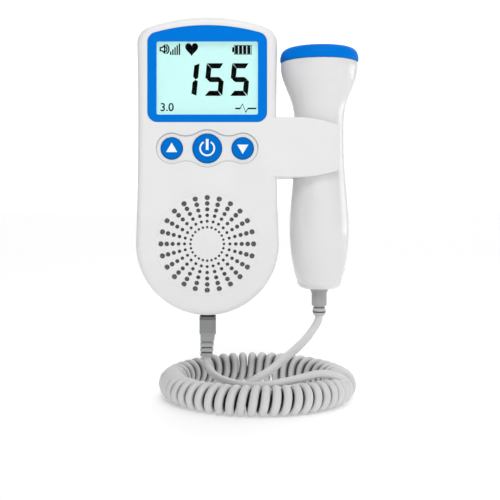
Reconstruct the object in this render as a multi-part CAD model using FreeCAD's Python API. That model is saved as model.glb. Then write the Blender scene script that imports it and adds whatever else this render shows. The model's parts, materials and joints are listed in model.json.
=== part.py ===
# Handheld fetal doppler monitor with a clip-in probe on a curly cord, in millimetres.
# The origin is on the case's flat back, just above the centre of its round lower end:
# +X points to the probe, +Y out of the back, +Z up towards the screen.
import FreeCAD, Part
import math
import os

slip = 0.1                       # gap of a piece that drops into its seat
overlap = 1.0                    # how far a cutting tool runs past a face

# ---------------------------------------------------------------- cells, display and board
cell_radius = 7.2
cell_length = 50.0
cell_gap = 0.5
contact_space = 2.6              # room for a contact at each end of the cells
bay_wall = 1.4
bay_low = 34.0
bay_high = bay_low + cell_length + 2 * contact_space
bay_half_width = 2 * cell_radius + 1.5 * cell_gap
lcd_border = 1.3                 # glass beyond the window, on every side
lcd_thickness = 1.8
backlight_thickness = 2.6
board_thickness = 1.6
board_room = 2.7                 # between the board and the cells' bay
door_thickness = 2.0
door_sink = 0.2                  # door face below the back

# ---------------------------------------------------------------- case outline
side_wall = 2.0
face_wall = 2.2
side_room = 13.75                # beside the cells' bay, where the headphone jack lies
front_stack = face_wall + slip + lcd_thickness + backlight_thickness + board_thickness
rear_stack = bay_wall + 2 * cell_radius + 2 * cell_gap + door_thickness + door_sink
case_depth = front_stack + board_room + rear_stack
waist_half_width = bay_half_width + bay_wall + side_room
waist_dip = 1.0                  # of the sides, from the round lower end to the waist
waist_height = 52.0
lower_radius = waist_half_width + waist_dip
lower_centre = -0.6              # height of the round lower end's centre, and the grille's
case_bottom = lower_centre - lower_radius
crown_height = 98.7
crown_radius = 79.0
corner_radius = 8.0
edge_round = 3.0
face_y = -case_depth
parting_y = -case_depth / 2

# ---------------------------------------------------------------- screen
bezel_half_width = 26.0
bezel_bottom = 52.5
bezel_crown = 94.6
bezel_crown_radius = 84.9
bezel_corner = 4.3
bezel_thickness = 1.2
window_half_width = 22.1
window_bottom = 55.7
window_top = 87.6
window_corner = 0.8
lens_thickness = 1.0
lens_sink = 0.15                 # lens face below the bezel's

# ---------------------------------------------------------------- keypad
key_height = 41.0
key_pitch = 15.45
small_key_radius = 4.7
power_key_radius = 6.3
key_end_radius = small_key_radius + 1.75     # recess round the two small keys
key_middle_radius = power_key_radius + 1.6   # recess round the power key
key_waist_radius = 9.7           # hollow curve between them
key_recess_depth = 0.5
key_stand_out = 0.3              # key face in front of the case
key_gap = 0.25
key_flange = 0.9
key_flange_thickness = 0.9
key_travel = 0.6
key_round = 0.5
plunger_radius = 1.6
plunger_gap = 0.2
switch_side = 6.0
switch_height = 1.9
switch_floor = 0.2               # of the switch housing, under its plunger

# ---------------------------------------------------------------- grille and speaker
grille_radius = 22.4
grille_rise = 0.5                # dome of the grille in front of the case
grille_rings = 6
grille_spokes = 24
first_ring_radius = 7.3
last_ring_radius = grille_radius - 2.2
first_hole_radius = 0.55
last_hole_radius = 1.15
grille_gap = 0.03                # the insert is glued in almost without a seam
grille_thickness = 2.0
grille_ledge = 1.2
grille_floor = 0.8               # of the face left under the grille's edge
dust_cloth_thickness = 0.4
speaker_radius = grille_radius - grille_ledge - 1.4
speaker_rim = 2.6
speaker_depth = 5.0
magnet_radius = 9.0
magnet_depth = 4.6

# ---------------------------------------------------------------- board and battery
board_corner = 1.5
boss_hole_play = 0.4             # between a screw boss and its hole in the board
# Low and high x, low and high z, and height of each chip on the board's back.
board_chips = [(-25.5, -18.5, 46.0, 53.0, 1.4), (19.5, 25.0, 50.0, 55.5, 1.4),
               (19.5, 23.0, 70.0, 79.0, 2.0)]
capacitor_places = [(22.4, 40.0), (-22.4, 34.0)]
capacitor_radius = 2.0
capacitor_height = 4.5
board_half_width = waist_half_width - side_wall - 1.9
board_bottom = 24.0
board_top = 89.6
contact_thickness = 0.5
contact_margin = 2.0             # from the cell's side to the contact's edge
contact_play = 0.05
leaf_foot = 0.8                  # width of the bowed leaf's ends
leaf_width = 4.0
door_half_width = bay_half_width + 0.25
door_low = bay_low - 2.5
door_high = bay_high + 2.8
door_gap = 0.3
hinge_barrel_radius = 1.0
hinge_pin_radius = 0.7
hinge_pin_length = 1.6
hinge_play = 0.06
door_corner = 2.0
latch_half_width = 5.0
latch_length = 8.0
latch_slot = 0.8
thumb_scoop_radius = 7.0
thumb_scoop_depth = 1.2
grip_grooves = 3                 # across the latch tab
grip_groove_radius = 0.35
grip_groove_pitch = 1.6

# ---------------------------------------------------------------- case screws
low_screw = (waist_half_width - 5.7, 19.5)
high_screw = (waist_half_width - 3.8, 85.0)
screw_places = [(side * x, z) for x, z in (low_screw, high_screw) for side in (-1, 1)]
boss_radius = 3.0
screw_radius = 1.2
screw_head_radius = 2.3
screw_head_height = 1.6
screw_head_sink = 4.0
screw_play = 0.1
cross_reach = 1.4                # half length of the screw head's cross
cross_half_width = 0.25
cross_depth = 0.7
screw_bite = 8.0                 # length of thread beyond the parting face

# ---------------------------------------------------------------- sockets
headphone_height = 62.0
headphone_bore_radius = 1.8
headphone_nose_radius = 2.8
headphone_side = 6.6
headphone_length = 13.0
headphone_sink = 0.1             # nose below the wall's outside
headphone_step = 0.6             # nose between the wall and the body
socket_half_width = 4.6
socket_half_depth = 4.4
socket_top = case_bottom + 10.7
socket_gap = 0.9                 # between the socket and the case's lower wall
plug_nose_half_width = 3.1
plug_nose_half_depth = 2.9
plug_nose_length = 7.0
plug_contacts = 4                # slots in the plug's nose
plug_contact_pitch = 1.5
plug_contact_half_width = 0.3
plug_contact_depth = 0.5
plug_contact_start = 1.5         # above the plug's top

# ---------------------------------------------------------------- probe clip
probe_x = waist_half_width + 20.1
probe_y = parting_y
arm_level = key_height + 0.55    # middle of the arm
arm_half_height = 13.15
arm_straight_end = waist_half_width + 8.0
arm_taper_radius = 59.0          # curve of the arm's upper and lower edges
arm_tip_x = probe_x + 7.9
arm_tip_corner = 1.8
arm_round = 1.0
arm_root_x = waist_half_width - 4.3
seat_gap = 0.35

# ---------------------------------------------------------------- probe
# Radius and height down the white handle, from the flare under the head to its foot.
probe_stations = [(17.35, 80.2), (16.9, 74.7), (15.1, 69.3), (12.9, 63.9), (11.5, 58.0),
                  (11.1, 49.0), (11.2, 40.0), (11.7, 30.0), (12.6, 20.0), (13.35, 8.0),
                  (12.95, -3.0), (11.6, -12.0), (10.0, -17.6)]
probe_foot = -21.3
probe_foot_flat = 6.8
probe_foot_corner = (9.1, -20.2)
probe_wall = 2.0
probe_top_chamfer = 0.3
cap_groove = 0.1
cap_bulge = 0.3
cap_height = 6.6
cap_side_height = 3.1            # up to where the cap's shoulder starts
cap_shoulder_in = 0.6            # a point on the shoulder's curve, in from the side
cap_shoulder_up = 1.5            # and up from its start
cap_rim_in = 2.35                # inner end of the shoulder, in from the side
cap_dome = 0.7                   # rise of the face from there to its middle
cap_wall = 1.6
cap_spigot_length = 2.6
backing_radius = probe_stations[0][0] - probe_wall - slip - cap_wall - 0.65
crystal_radius = backing_radius - 4.5
crystal_thickness = 0.8
crystal_split = 0.8
crystal_gap = 1.6                # room over the crystals for the coupling filler
backing_thickness = 6.0
probe_board_half_width = 7.0
probe_board_low = -8.0
probe_board_high = 60.0
probe_board_half_thickness = 0.6
# Half width, low and high z, and height of each chip on the probe's board.
probe_chips = [(3.0, 10.0, 16.0, 1.3), (2.0, 30.0, 35.0, 1.6)]
holder_radius = 3.0

# ---------------------------------------------------------------- cord
cord_radius = 1.75
gland_flare_radius = 4.6
gland_flare_length = 2.2
gland_radius = 3.4
gland_length = 7.7
gland_neck_radius = cord_radius + 0.75
gland_neck_length = 0.6
gland_sleeve_overlap = 1.9       # of the sleeve's length, inside the flare's
gland_sleeve_bevel = 0.5
gland_ball_end_radius = cord_radius + 0.35
gland_ball_radius = 3.0
gland_inside = 3.0
plug_top = case_bottom - 1.9
plug_body_length = 8.4
plug_half_width = 3.7
plug_half_depth = 4.0
plug_corner = 1.2
plug_collar_height = 1.4
boot_length = 9.6
boot_top_half = 3.3
boot_end_half = cord_radius + 1.0
boot_lean = 0.6                  # of the boot's end, away from the probe
boot_groove = 0.5
boot_core_corner = 0.8
boot_groove_height = 0.9
boot_grooves = [4.4, 6.6, 8.6]   # down from the top of the boot
floor_z = -70.1
ring_x = 22.3
ring_y = -15.0
ring_radius = 38.0
coil_radius = 6.3                # outside of the curly part
ring_start = 68.0                # degrees right of the front, where the curly part begins
ring_sweep = 351.0
arc_share = 0.45                 # of the shorter run, taken by each bend

# The lead from the plug, over the front of the coil and into its start.
lead_route = [(-0.6, -15.0, -51.8), (-0.6, -15.0, -55.0), (0.8, -16.7, -58.2), (4.2, -21.6, -60.4),
              (8.2, -30.0, -60.4), (13.2, -39.0, -60.1), (20.4, -45.0, -59.8),
              (29.8, -45.6, -58.2), (39.2, -43.2, -56.6), (47.2, -39.8, -55.0),
              (54.0, -36.8, -56.0), (59.0, -32.4, -60.4)]
# The lead from the end of the coil, round on the surface and up to the probe.
tail_route = [(56.9, -21.4, -68.3), (48.6, -18.4, -68.3), (40.0, -15.6, -68.3),
              (30.6, -13.2, -68.3), (21.0, -11.8, -68.3), (14.2, -11.3, -68.3),
              (9.2, -12.2, -68.3), (4.6, -15.0, -68.3), (1.6, -19.4, -68.3),
              (0.7, -24.6, -68.3), (2.1, -29.8, -68.0), (5.6, -33.8, -67.3),
              (10.4, -36.0, -65.9), (15.2, -36.3, -63.0), (19.6, -36.0, -58.8),
              (26.2, -35.0, -55.8), (32.1, -31.3, -50.9), (35.8, -26.8, -48.3),
              (39.1, -22.2, -48.4), (44.1, -19.1, -47.2), (47.6, -16.8, -44.1),
              (49.7, -15.5, -39.9), (50.4, -15.0, -36.4), (50.4, -15.0, -33.6)]


def at(x, y, z):
    return FreeCAD.Vector(x, y, z)


def arc(centre, radius, start, end, y):
    """An arc in an upright plane at y, from start to end in radians."""
    points = []
    for angle in (start, (start + end) / 2, end):
        points.append(at(centre[0] + radius * math.cos(angle), y,
                         centre[1] + radius * math.sin(angle)))
    return Part.Arc(*points).toShape()


def prism(edges, depth):
    return Part.Face(Part.Wire(edges)).extrude(at(0, depth, 0))


def box(x0, x1, y0, y1, z0, z1):
    return Part.makeBox(x1 - x0, y1 - y0, z1 - z0, at(x0, y0, z0))


def rod(radius, length, x, y, z, direction):
    return Part.makeCylinder(radius, length, at(x, y, z), direction)


def plate(half_width, low, high, corner, y, depth, middle=0.0):
    """A flat plate with round corners, upright at y."""
    right = middle + half_width
    left = middle - half_width
    turn = math.pi / 2
    edges = [
        Part.makeLine(at(left + corner, y, low), at(right - corner, y, low)),
        arc((right - corner, low + corner), corner, -turn, 0, y),
        Part.makeLine(at(right, y, low + corner), at(right, y, high - corner)),
        arc((right - corner, high - corner), corner, 0, turn, y),
        Part.makeLine(at(right - corner, y, high), at(left + corner, y, high)),
        arc((left + corner, high - corner), corner, turn, 2 * turn, y),
        Part.makeLine(at(left, y, high - corner), at(left, y, low + corner)),
        arc((left + corner, low + corner), corner, 2 * turn, 3 * turn, y),
    ]
    return prism(edges, depth)


def fillet_where(solid, radius, chosen):
    """Rounds the edges for which chosen(edge) is true."""
    return solid.makeFillet(radius, [edge for edge in solid.Edges if chosen(edge)])


def lies_in_plane(y):
    """A test for edges that lie in the upright plane at y."""
    def test(edge):
        return abs(edge.BoundBox.YMin - y) < 1e-6 and abs(edge.BoundBox.YMax - y) < 1e-6
    return test


def meeting(centre_a, radius_a, centre_b, radius_b):
    """The lower crossing point, on the right-hand side, of two circles."""
    dx = centre_b[0] - centre_a[0]
    dz = centre_b[1] - centre_a[1]
    gap = math.hypot(dx, dz)
    along = (radius_a ** 2 - radius_b ** 2 + gap ** 2) / (2 * gap)
    across = math.sqrt(radius_a ** 2 - along ** 2)
    options = []
    for side in (1, -1):
        options.append((centre_a[0] + (along * dx - side * across * dz) / gap,
                        centre_a[1] + (along * dz + side * across * dx) / gap))
    return max(options, key=lambda point: point[1])


# ------------------------------------------------------------------ the case
def case_outline(inset, y):
    """The case seen from the front: round end, waisted sides, corners and crown."""
    dip = lower_radius - waist_half_width
    rise = waist_height - lower_centre
    span = (rise ** 2 + dip ** 2) / (2 * dip)
    side_radius = span - lower_radius
    lean = math.asin(rise / span)
    side_centre = (waist_half_width + side_radius, waist_height)
    crown_centre = (0.0, crown_height - crown_radius)
    corner = meeting(crown_centre, crown_radius - corner_radius,
                     side_centre, side_radius + corner_radius)
    to_side = math.atan2(side_centre[1] - corner[1], side_centre[0] - corner[0])
    to_crown = math.atan2(corner[1] - crown_centre[1], corner[0] - crown_centre[0])
    right = [
        arc(side_centre, side_radius + inset, math.pi + lean, math.pi + to_side, y),
        arc(corner, corner_radius - inset, to_side, to_crown, y),
    ]
    left = [edge.mirror(at(0, 0, 0), at(1, 0, 0)) for edge in reversed(right)]
    crown = arc(crown_centre, crown_radius - inset, to_crown, math.pi - to_crown, y)
    bottom = arc((0, lower_centre), lower_radius - inset, math.pi - lean,
                 2 * math.pi + lean, y)
    return right + [crown] + left + [bottom]


def case_half(outside_y, wall):
    """One outer shell with its arm, open at the parting face."""
    outward = math.copysign(1, outside_y - parting_y)
    solid = prism(case_outline(0, parting_y), outside_y - parting_y)
    solid = fillet_where(solid, edge_round, lies_in_plane(outside_y))
    solid = solid.fuse(arm(outside_y)).removeSplitter()
    hollow = prism(case_outline(side_wall, parting_y),
                   outside_y - parting_y - outward * wall)
    return solid.cut(hollow).cut(probe_seat())


def arm_outline(y):
    """The clip's arm from the front: it narrows in a gentle curve to its round tip."""
    taper_centre = (arm_straight_end, arm_level + arm_half_height - arm_taper_radius)
    corner_x = arm_tip_x - arm_tip_corner
    reach = arm_taper_radius - arm_tip_corner
    turned = math.asin((corner_x - arm_straight_end) / reach)
    corner = (corner_x, taper_centre[1] + reach * math.cos(turned))
    upright = math.pi / 2
    start = at(arm_root_x, y, arm_level + arm_half_height)
    knee = at(arm_straight_end, y, arm_level + arm_half_height)
    tip = at(arm_tip_x, y, corner[1])
    top = [
        Part.makeLine(start, knee),
        arc(taper_centre, arm_taper_radius, upright, upright - turned, y),
        arc(corner, arm_tip_corner, upright - turned, 0, y),
    ]
    level = at(0, 0, arm_level)
    under = [edge.mirror(level, at(0, 0, 1)) for edge in reversed(top)]
    low_tip = at(tip.x, y, 2 * arm_level - tip.z)
    low_start = at(start.x, y, 2 * arm_level - start.z)
    return top + [Part.makeLine(tip, low_tip)] + under + [Part.makeLine(low_start, start)]


def arm(outside_y):
    """Half of the clip: flat beside the case, then round the probe's axis."""
    reach = abs(outside_y - parting_y)
    outward = math.copysign(1, outside_y - parting_y)
    low = arm_level - arm_half_height - overlap
    high = 2 * (arm_half_height + overlap)
    flat_start = at(arm_root_x, outside_y, low)
    flat_end = at(probe_x, outside_y, low)
    quarter = reach * math.sqrt(0.5)
    plan = [
        Part.makeLine(at(arm_root_x, parting_y, low), flat_start),
        Part.makeLine(flat_start, flat_end),
        Part.Arc(flat_end, at(probe_x + quarter, parting_y + outward * quarter, low),
                 at(probe_x + reach, parting_y, low)).toShape(),
        Part.makeLine(at(probe_x + reach, parting_y, low), at(arm_root_x, parting_y, low)),
    ]
    bar = Part.Face(Part.Wire(plan)).extrude(at(0, 0, high))
    solid = bar.common(prism(arm_outline(parting_y), outside_y - parting_y))

    def outer_rim(edge):
        bounds = edge.BoundBox
        if bounds.XMin < arm_root_x + 1e-6 and bounds.XLength < 1e-6:
            return False
        if bounds.XLength < 1e-6 and abs(bounds.XMin - probe_x) < 1e-6:
            return False
        first, last = edge.ParameterRange
        for share in (0.1, 0.5, 0.9):
            point = edge.valueAt(first + share * (last - first))
            if point.x <= probe_x:
                off = abs(point.y - outside_y)
            else:
                off = abs(math.hypot(point.x - probe_x, point.y - parting_y) - reach)
            if off > 1e-3:
                return False
        return True

    return fillet_where(solid, arm_round, outer_rim)


def probe_curve(offset):
    """The handle's side as a smooth curve, moved outwards by offset."""
    curve = Part.BSplineCurve()
    points = []
    for radius, height in probe_stations:
        points.append(at(probe_x + radius + offset, probe_y, height))
    curve.interpolate(points)
    return curve.toShape()


def probe_seat():
    """The room that the neck needs in the clip and on its way out along +X."""
    side = probe_curve(seat_gap)
    high = side.Vertexes[0].Point
    low = side.Vertexes[-1].Point
    edges = [side,
             Part.makeLine(low, at(probe_x, probe_y, low.z)),
             Part.makeLine(at(probe_x, probe_y, low.z), at(probe_x, probe_y, high.z)),
             Part.makeLine(at(probe_x, probe_y, high.z), high)]
    half = Part.Face(Part.Wire(edges))
    axis_point = at(probe_x, probe_y, 0)
    up = at(0, 0, 1)
    round_seat = half.revolve(axis_point, up, 360)
    facing = half.copy()
    facing.rotate(axis_point, up, 90)
    other = half.copy()
    other.rotate(axis_point, up, -90)
    way_out = at(case_depth, 0, 0)
    return round_seat.fuse([facing.extrude(way_out), other.extrude(way_out)])


def bezel_outline(inset, y):
    """The screen surround: straight sides, round corners and a crowned top."""
    side = bezel_half_width - inset
    low = bezel_bottom + inset
    crown_centre = (0.0, bezel_crown - bezel_crown_radius)
    radius = bezel_crown_radius - inset
    small = bezel_corner - inset
    corner_x = side - small
    corner_z = crown_centre[1] + math.sqrt((radius - small) ** 2 - corner_x ** 2)
    to_crown = math.atan2(corner_z - crown_centre[1], corner_x)
    turn = math.pi / 2
    return [
        Part.makeLine(at(-side + small, y, low), at(side - small, y, low)),
        arc((side - small, low + small), small, -turn, 0, y),
        Part.makeLine(at(side, y, low + small), at(side, y, corner_z)),
        arc((corner_x, corner_z), small, 0, to_crown, y),
        arc(crown_centre, radius, to_crown, math.pi - to_crown, y),
        arc((-corner_x, corner_z), small, math.pi - to_crown, math.pi, y),
        Part.makeLine(at(-side, y, corner_z), at(-side, y, low + small)),
        arc((-side + small, low + small), small, 2 * turn, 3 * turn, y),
    ]


def key_recess(y, depth):
    """The bone-shaped hollow that the three keys stand in."""
    end_centre = (key_pitch, key_height)
    middle = (0.0, key_height)
    hollow = meeting(middle, key_middle_radius + key_waist_radius,
                     end_centre, key_end_radius + key_waist_radius)
    from_middle = math.atan2(hollow[1] - key_height, hollow[0])
    from_end = math.atan2(hollow[1] - key_height, hollow[0] - key_pitch)
    upper = [
        arc(middle, key_middle_radius, math.pi / 2, from_middle, y),
        arc(hollow, key_waist_radius, math.pi + from_middle, math.pi + from_end, y),
        arc(end_centre, key_end_radius, from_end, 0, y),
    ]
    lower = [edge.mirror(at(0, 0, key_height), at(0, 0, 1)) for edge in reversed(upper)]
    right = upper + lower
    left = [edge.mirror(at(0, 0, 0), at(1, 0, 0)) for edge in reversed(right)]
    return prism(right + left, depth)


def keys():
    """Name, place and radius of each key."""
    return [("up_button", -key_pitch, small_key_radius),
            ("power_button", 0.0, power_key_radius),
            ("down_button", key_pitch, small_key_radius)]


back = at(0, 1, 0)
inner_face_y = face_y + face_wall
key_face_y = face_y - key_stand_out
flange_y = inner_face_y + key_gap
lcd_y = inner_face_y + slip
backlight_y = lcd_y + lcd_thickness
board_y = backlight_y + backlight_thickness
switch_y = board_y - switch_height


def front_shell():
    solid = case_half(face_y, face_wall)
    solid = solid.cut(prism(bezel_outline(-slip, face_y - overlap), bezel_thickness + overlap))
    solid = solid.cut(plate(window_half_width + slip, window_bottom - slip, window_top + slip,
                            window_corner, face_y - overlap, face_wall + 2 * overlap))
    solid = solid.cut(key_recess(face_y - overlap, key_recess_depth + overlap))
    for _, x, radius in keys():
        solid = solid.cut(rod(radius + key_gap, face_wall + 2 * overlap,
                              x, face_y - overlap, key_height, back))
    solid = solid.cut(rod(grille_radius - grille_ledge, face_wall + 2 * overlap,
                          0, face_y - overlap, lower_centre, back))
    solid = solid.cut(rod(grille_radius + grille_gap, grille_seat_depth + overlap,
                          0, face_y - overlap, lower_centre, back))
    for x, z in screw_places:
        boss = rod(boss_radius, parting_y - inner_face_y, x, inner_face_y, z, back)
        solid = solid.fuse(boss)
        solid = solid.cut(rod(screw_radius + screw_play, screw_bite + slip,
                              x, parting_y - screw_bite - slip, z, back))
    return solid.cut(socket_openings())


def socket_openings():
    """Holes in the joint between the shells, for the headphone nose and the plug."""
    nose = rod(headphone_nose_radius + slip, side_wall + 4 * overlap,
               -lower_radius - overlap, parting_y, headphone_height, at(1, 0, 0))
    plug_way = box(-plug_nose_half_width - slip, plug_nose_half_width + slip,
                   parting_y - plug_nose_half_depth - slip,
                   parting_y + plug_nose_half_depth + slip,
                   case_bottom - overlap, case_bottom + 3 * side_wall)
    return nose.fuse(plug_way)


grille_seat_depth = face_wall - grille_floor


def speaker_grille():
    """A domed disc with rows of holes that grow from the middle outwards."""
    dome = (grille_radius ** 2 + grille_rise ** 2) / (2 * grille_rise)
    edge_y = face_y
    seat_y = face_y + grille_seat_depth
    half_way_y = edge_y + dome - grille_rise - math.sqrt(dome ** 2 - (grille_radius / 2) ** 2)
    z = lower_centre
    rim = [
        Part.Arc(at(0, edge_y - grille_rise, z), at(grille_radius / 2, half_way_y, z),
                 at(grille_radius, edge_y, z)).toShape(),
        Part.makeLine(at(grille_radius, edge_y, z), at(grille_radius, seat_y, z)),
        Part.makeLine(at(grille_radius, seat_y, z), at(0, seat_y, z)),
        Part.makeLine(at(0, seat_y, z), at(0, edge_y - grille_rise, z)),
    ]
    disc = Part.Face(Part.Wire(rim)).revolve(at(0, 0, z), back, 360)
    holes = []
    for ring in range(grille_rings):
        share = ring / (grille_rings - 1)
        radius = first_ring_radius + share * (last_ring_radius - first_ring_radius)
        hole = first_hole_radius + share * (last_hole_radius - first_hole_radius)
        for spoke in range(grille_spokes):
            angle = 2 * math.pi * spoke / grille_spokes
            holes.append(rod(hole, grille_thickness + 2 * overlap, radius * math.sin(angle),
                             face_y - overlap, z + radius * math.cos(angle), back))
    return disc.cut(Part.makeCompound(holes))


def dust_cloth():
    return rod(speaker_radius, dust_cloth_thickness, 0, face_y + grille_seat_depth + slip,
               lower_centre, back)


speaker_y = face_y + grille_seat_depth + slip + dust_cloth_thickness


def speaker_basket():
    """A pressed steel basket: a flat rim and a cone-shaped back."""
    depth = speaker_depth
    section = [(speaker_radius, 0), (speaker_radius, 1.2), (speaker_radius - speaker_rim, 1.2),
               (magnet_radius + 1.5, depth), (5.5, depth), (5.5, depth - 1.0),
               (magnet_radius + 0.8, depth - 1.0), (speaker_radius - speaker_rim - 1.2, 0.6),
               (speaker_radius - speaker_rim - 1.2, 0)]
    return turned_y(section, speaker_y)


def speaker_cone():
    """The paper cone with its rolled edge and dust cap."""
    rim = speaker_radius - speaker_rim - 1.3
    section = [(0, 0.6), (4.5, 1.4), (5.0, 2.6), (rim - 2.0, 0.5), (rim, 0.1),
               (rim, 0.5), (rim - 2.0, 1.0), (5.4, 3.2), (4.2, 3.2), (4.2, 2.0), (0, 1.0)]
    return turned_y(section, speaker_y)


def speaker_magnet():
    """The magnet with its back plate, on the basket."""
    section = [(0, 0), (magnet_radius, 0), (magnet_radius, magnet_depth - 1.0),
               (magnet_radius - 0.6, magnet_depth - 1.0), (magnet_radius - 0.6, magnet_depth),
               (0, magnet_depth)]
    return turned_y(section, speaker_y + speaker_depth)


def turned_y(section, y):
    """Spins (radius, depth) points about the grille's axis; depth runs backwards from y."""
    points = [at(radius, y + depth, lower_centre) for radius, depth in section]
    face = Part.Face(Part.makePolygon(points + [points[0]]))
    return face.revolve(at(0, 0, lower_centre), back, 360)


def screen_bezel():
    ring = prism(bezel_outline(0, face_y), bezel_thickness - slip)
    window = plate(window_half_width, window_bottom, window_top, window_corner,
                   face_y - overlap, bezel_thickness + 2 * overlap)
    return ring.cut(window)


def screen_lens():
    return plate(window_half_width - slip, window_bottom + slip, window_top - slip,
                 window_corner, face_y + lens_sink, lens_thickness)


def lcd_panel():
    return plate(window_half_width + lcd_border, window_bottom - lcd_border,
                 window_top + lcd_border, window_corner, lcd_y, lcd_thickness)


def backlight():
    return plate(window_half_width + lcd_border, window_bottom - lcd_border,
                 window_top + lcd_border, window_corner, backlight_y, backlight_thickness)


def main_board():
    board = plate(board_half_width, board_bottom, board_top, board_corner, board_y,
                  board_thickness)
    for x, z in screw_places:
        board = board.cut(rod(boss_radius + boss_hole_play, board_thickness + 2 * overlap,
                              x, board_y - overlap, z, back))
    return board


def board_parts():
    """The processor, the amplifier, a crystal can and two round capacitors."""
    y = board_y + board_thickness
    made = [box(x0, x1, y, y + height, z0, z1) for x0, x1, z0, z1, height in board_chips]
    for x, z in capacitor_places:
        made.append(rod(capacitor_radius, capacitor_height, x, y, z, back))
    return Part.makeCompound(made)


def key_cap(x, radius):
    """A round key: dished face, flange behind the case, stem to the switch."""
    cap = rod(radius, flange_y - key_face_y, x, key_face_y, key_height, back)
    cap = fillet_where(cap, key_round, lies_in_plane(key_face_y))
    flange = rod(radius + key_gap + key_flange, key_flange_thickness, x, flange_y,
                 key_height, back)
    return cap.fuse(flange).removeSplitter()


def key_plunger(x):
    """The part of the tactile switch that the key pushes."""
    start = flange_y + key_flange_thickness
    bottom = board_y - key_travel - plunger_gap - switch_floor
    return rod(plunger_radius, bottom - start, x, start, key_height, back)


def tact_switches():
    """Three switch housings on the board, each open for its plunger."""
    housings = []
    for _, x, _ in keys():
        half = switch_side / 2
        body = box(x - half, x + half, switch_y, board_y, key_height - half, key_height + half)
        well = rod(plunger_radius + plunger_gap, switch_height - switch_floor + overlap, x,
                   switch_y - overlap, key_height, back)
        housings.append(body.cut(well))
    return Part.makeCompound(housings)


# ------------------------------------------------------------------ the back
door_y = -door_sink - door_thickness
hinge_y = door_y + hinge_barrel_radius
hinge_z = door_high - hinge_barrel_radius
cell_y = door_y - cell_gap - cell_radius
bay_floor_y = cell_y - cell_radius - cell_gap


def rear_shell():
    solid = case_half(0.0, face_wall)
    outer = box(-bay_half_width - bay_wall, bay_half_width + bay_wall,
                bay_floor_y - bay_wall, -face_wall / 2, bay_low - bay_wall, bay_high + bay_wall)
    solid = solid.fuse(outer)
    for x, z in screw_places:
        post = rod(boss_radius, -parting_y - face_wall / 2, x, parting_y, z, back)
        solid = solid.fuse(post)
        solid = solid.cut(rod(screw_radius + screw_play, case_depth, x, parting_y - overlap,
                              z, back))
        solid = solid.cut(rod(screw_head_radius + screw_play, screw_head_sink + overlap,
                              x, -screw_head_sink, z, back))
    bay = box(-bay_half_width, bay_half_width, bay_floor_y, overlap, bay_low, bay_high)
    seat = plate(door_half_width + door_gap, door_low - door_gap, door_high + door_gap,
                 door_corner + door_gap, door_y - door_gap, door_thickness + 2 * overlap)
    barrel_room = box(-door_half_width - door_gap, door_half_width + door_gap,
                      door_y - door_gap, overlap, hinge_z, door_high + door_gap)
    solid = solid.cut(bay).cut(seat).cut(barrel_room)
    solid = solid.cut(hinge_holes()).cut(thumb_scoop())
    return solid.cut(socket_openings()).removeSplitter()


def hinge_holes():
    """Two blind holes beside the door that its hinge pins turn in."""
    length = 2 * (door_half_width + hinge_pin_length + slip)
    return rod(hinge_pin_radius + hinge_play, length, -length / 2, hinge_y, hinge_z,
               at(1, 0, 0))


def thumb_scoop():
    """A shallow hollow below the door, where a nail lifts its latch."""
    ball = (thumb_scoop_radius ** 2 + thumb_scoop_depth ** 2) / (2 * thumb_scoop_depth)
    return Part.makeSphere(ball, at(0, ball - thumb_scoop_depth, door_low))


def battery_door():
    """The flat door with a round hinge edge, two pins and a sprung latch tab."""
    panel = plate(door_half_width, door_low, door_high, door_corner, door_y, door_thickness)
    panel = panel.cut(box(-lower_radius, lower_radius, -case_depth, overlap,
                          hinge_z, door_high + overlap))
    barrel = rod(hinge_barrel_radius, 2 * door_half_width, -door_half_width, hinge_y, hinge_z,
                 at(1, 0, 0))
    pins = rod(hinge_pin_radius, 2 * (door_half_width + hinge_pin_length),
               -door_half_width - hinge_pin_length, hinge_y, hinge_z, at(1, 0, 0))
    door = panel.fuse([barrel, pins]).removeSplitter()
    for side in (-1, 1):
        middle = side * (latch_half_width + latch_slot / 2)
        door = door.cut(box(middle - latch_slot / 2, middle + latch_slot / 2, -case_depth,
                            overlap, door_low - overlap, door_low + latch_length))
    for groove in range(grip_grooves):
        z = door_low + door_corner + grip_groove_pitch * groove
        door = door.cut(rod(grip_groove_radius, 2 * (latch_half_width - 1),
                            -latch_half_width + 1, -door_sink, z, at(1, 0, 0)))
    return door


def battery(x):
    """A penlight cell: can, shoulder and raised contact at the top."""
    low = bay_low + contact_space
    shoulder = 1.0
    nub_radius = 2.7
    nub = 1.2
    points = [(0, 0), (cell_radius - 0.4, 0), (cell_radius, 0.4),
              (cell_radius, cell_length - nub - shoulder), (cell_radius - 1.0, cell_length - nub),
              (nub_radius, cell_length - nub), (nub_radius, cell_length), (0, cell_length)]
    wire = Part.makePolygon([at(x + radius, cell_y, low + height) for radius, height in points]
                            + [at(x, cell_y, low)])
    return Part.Face(wire).revolve(at(x, cell_y, 0), at(0, 0, 1), 360)


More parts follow.
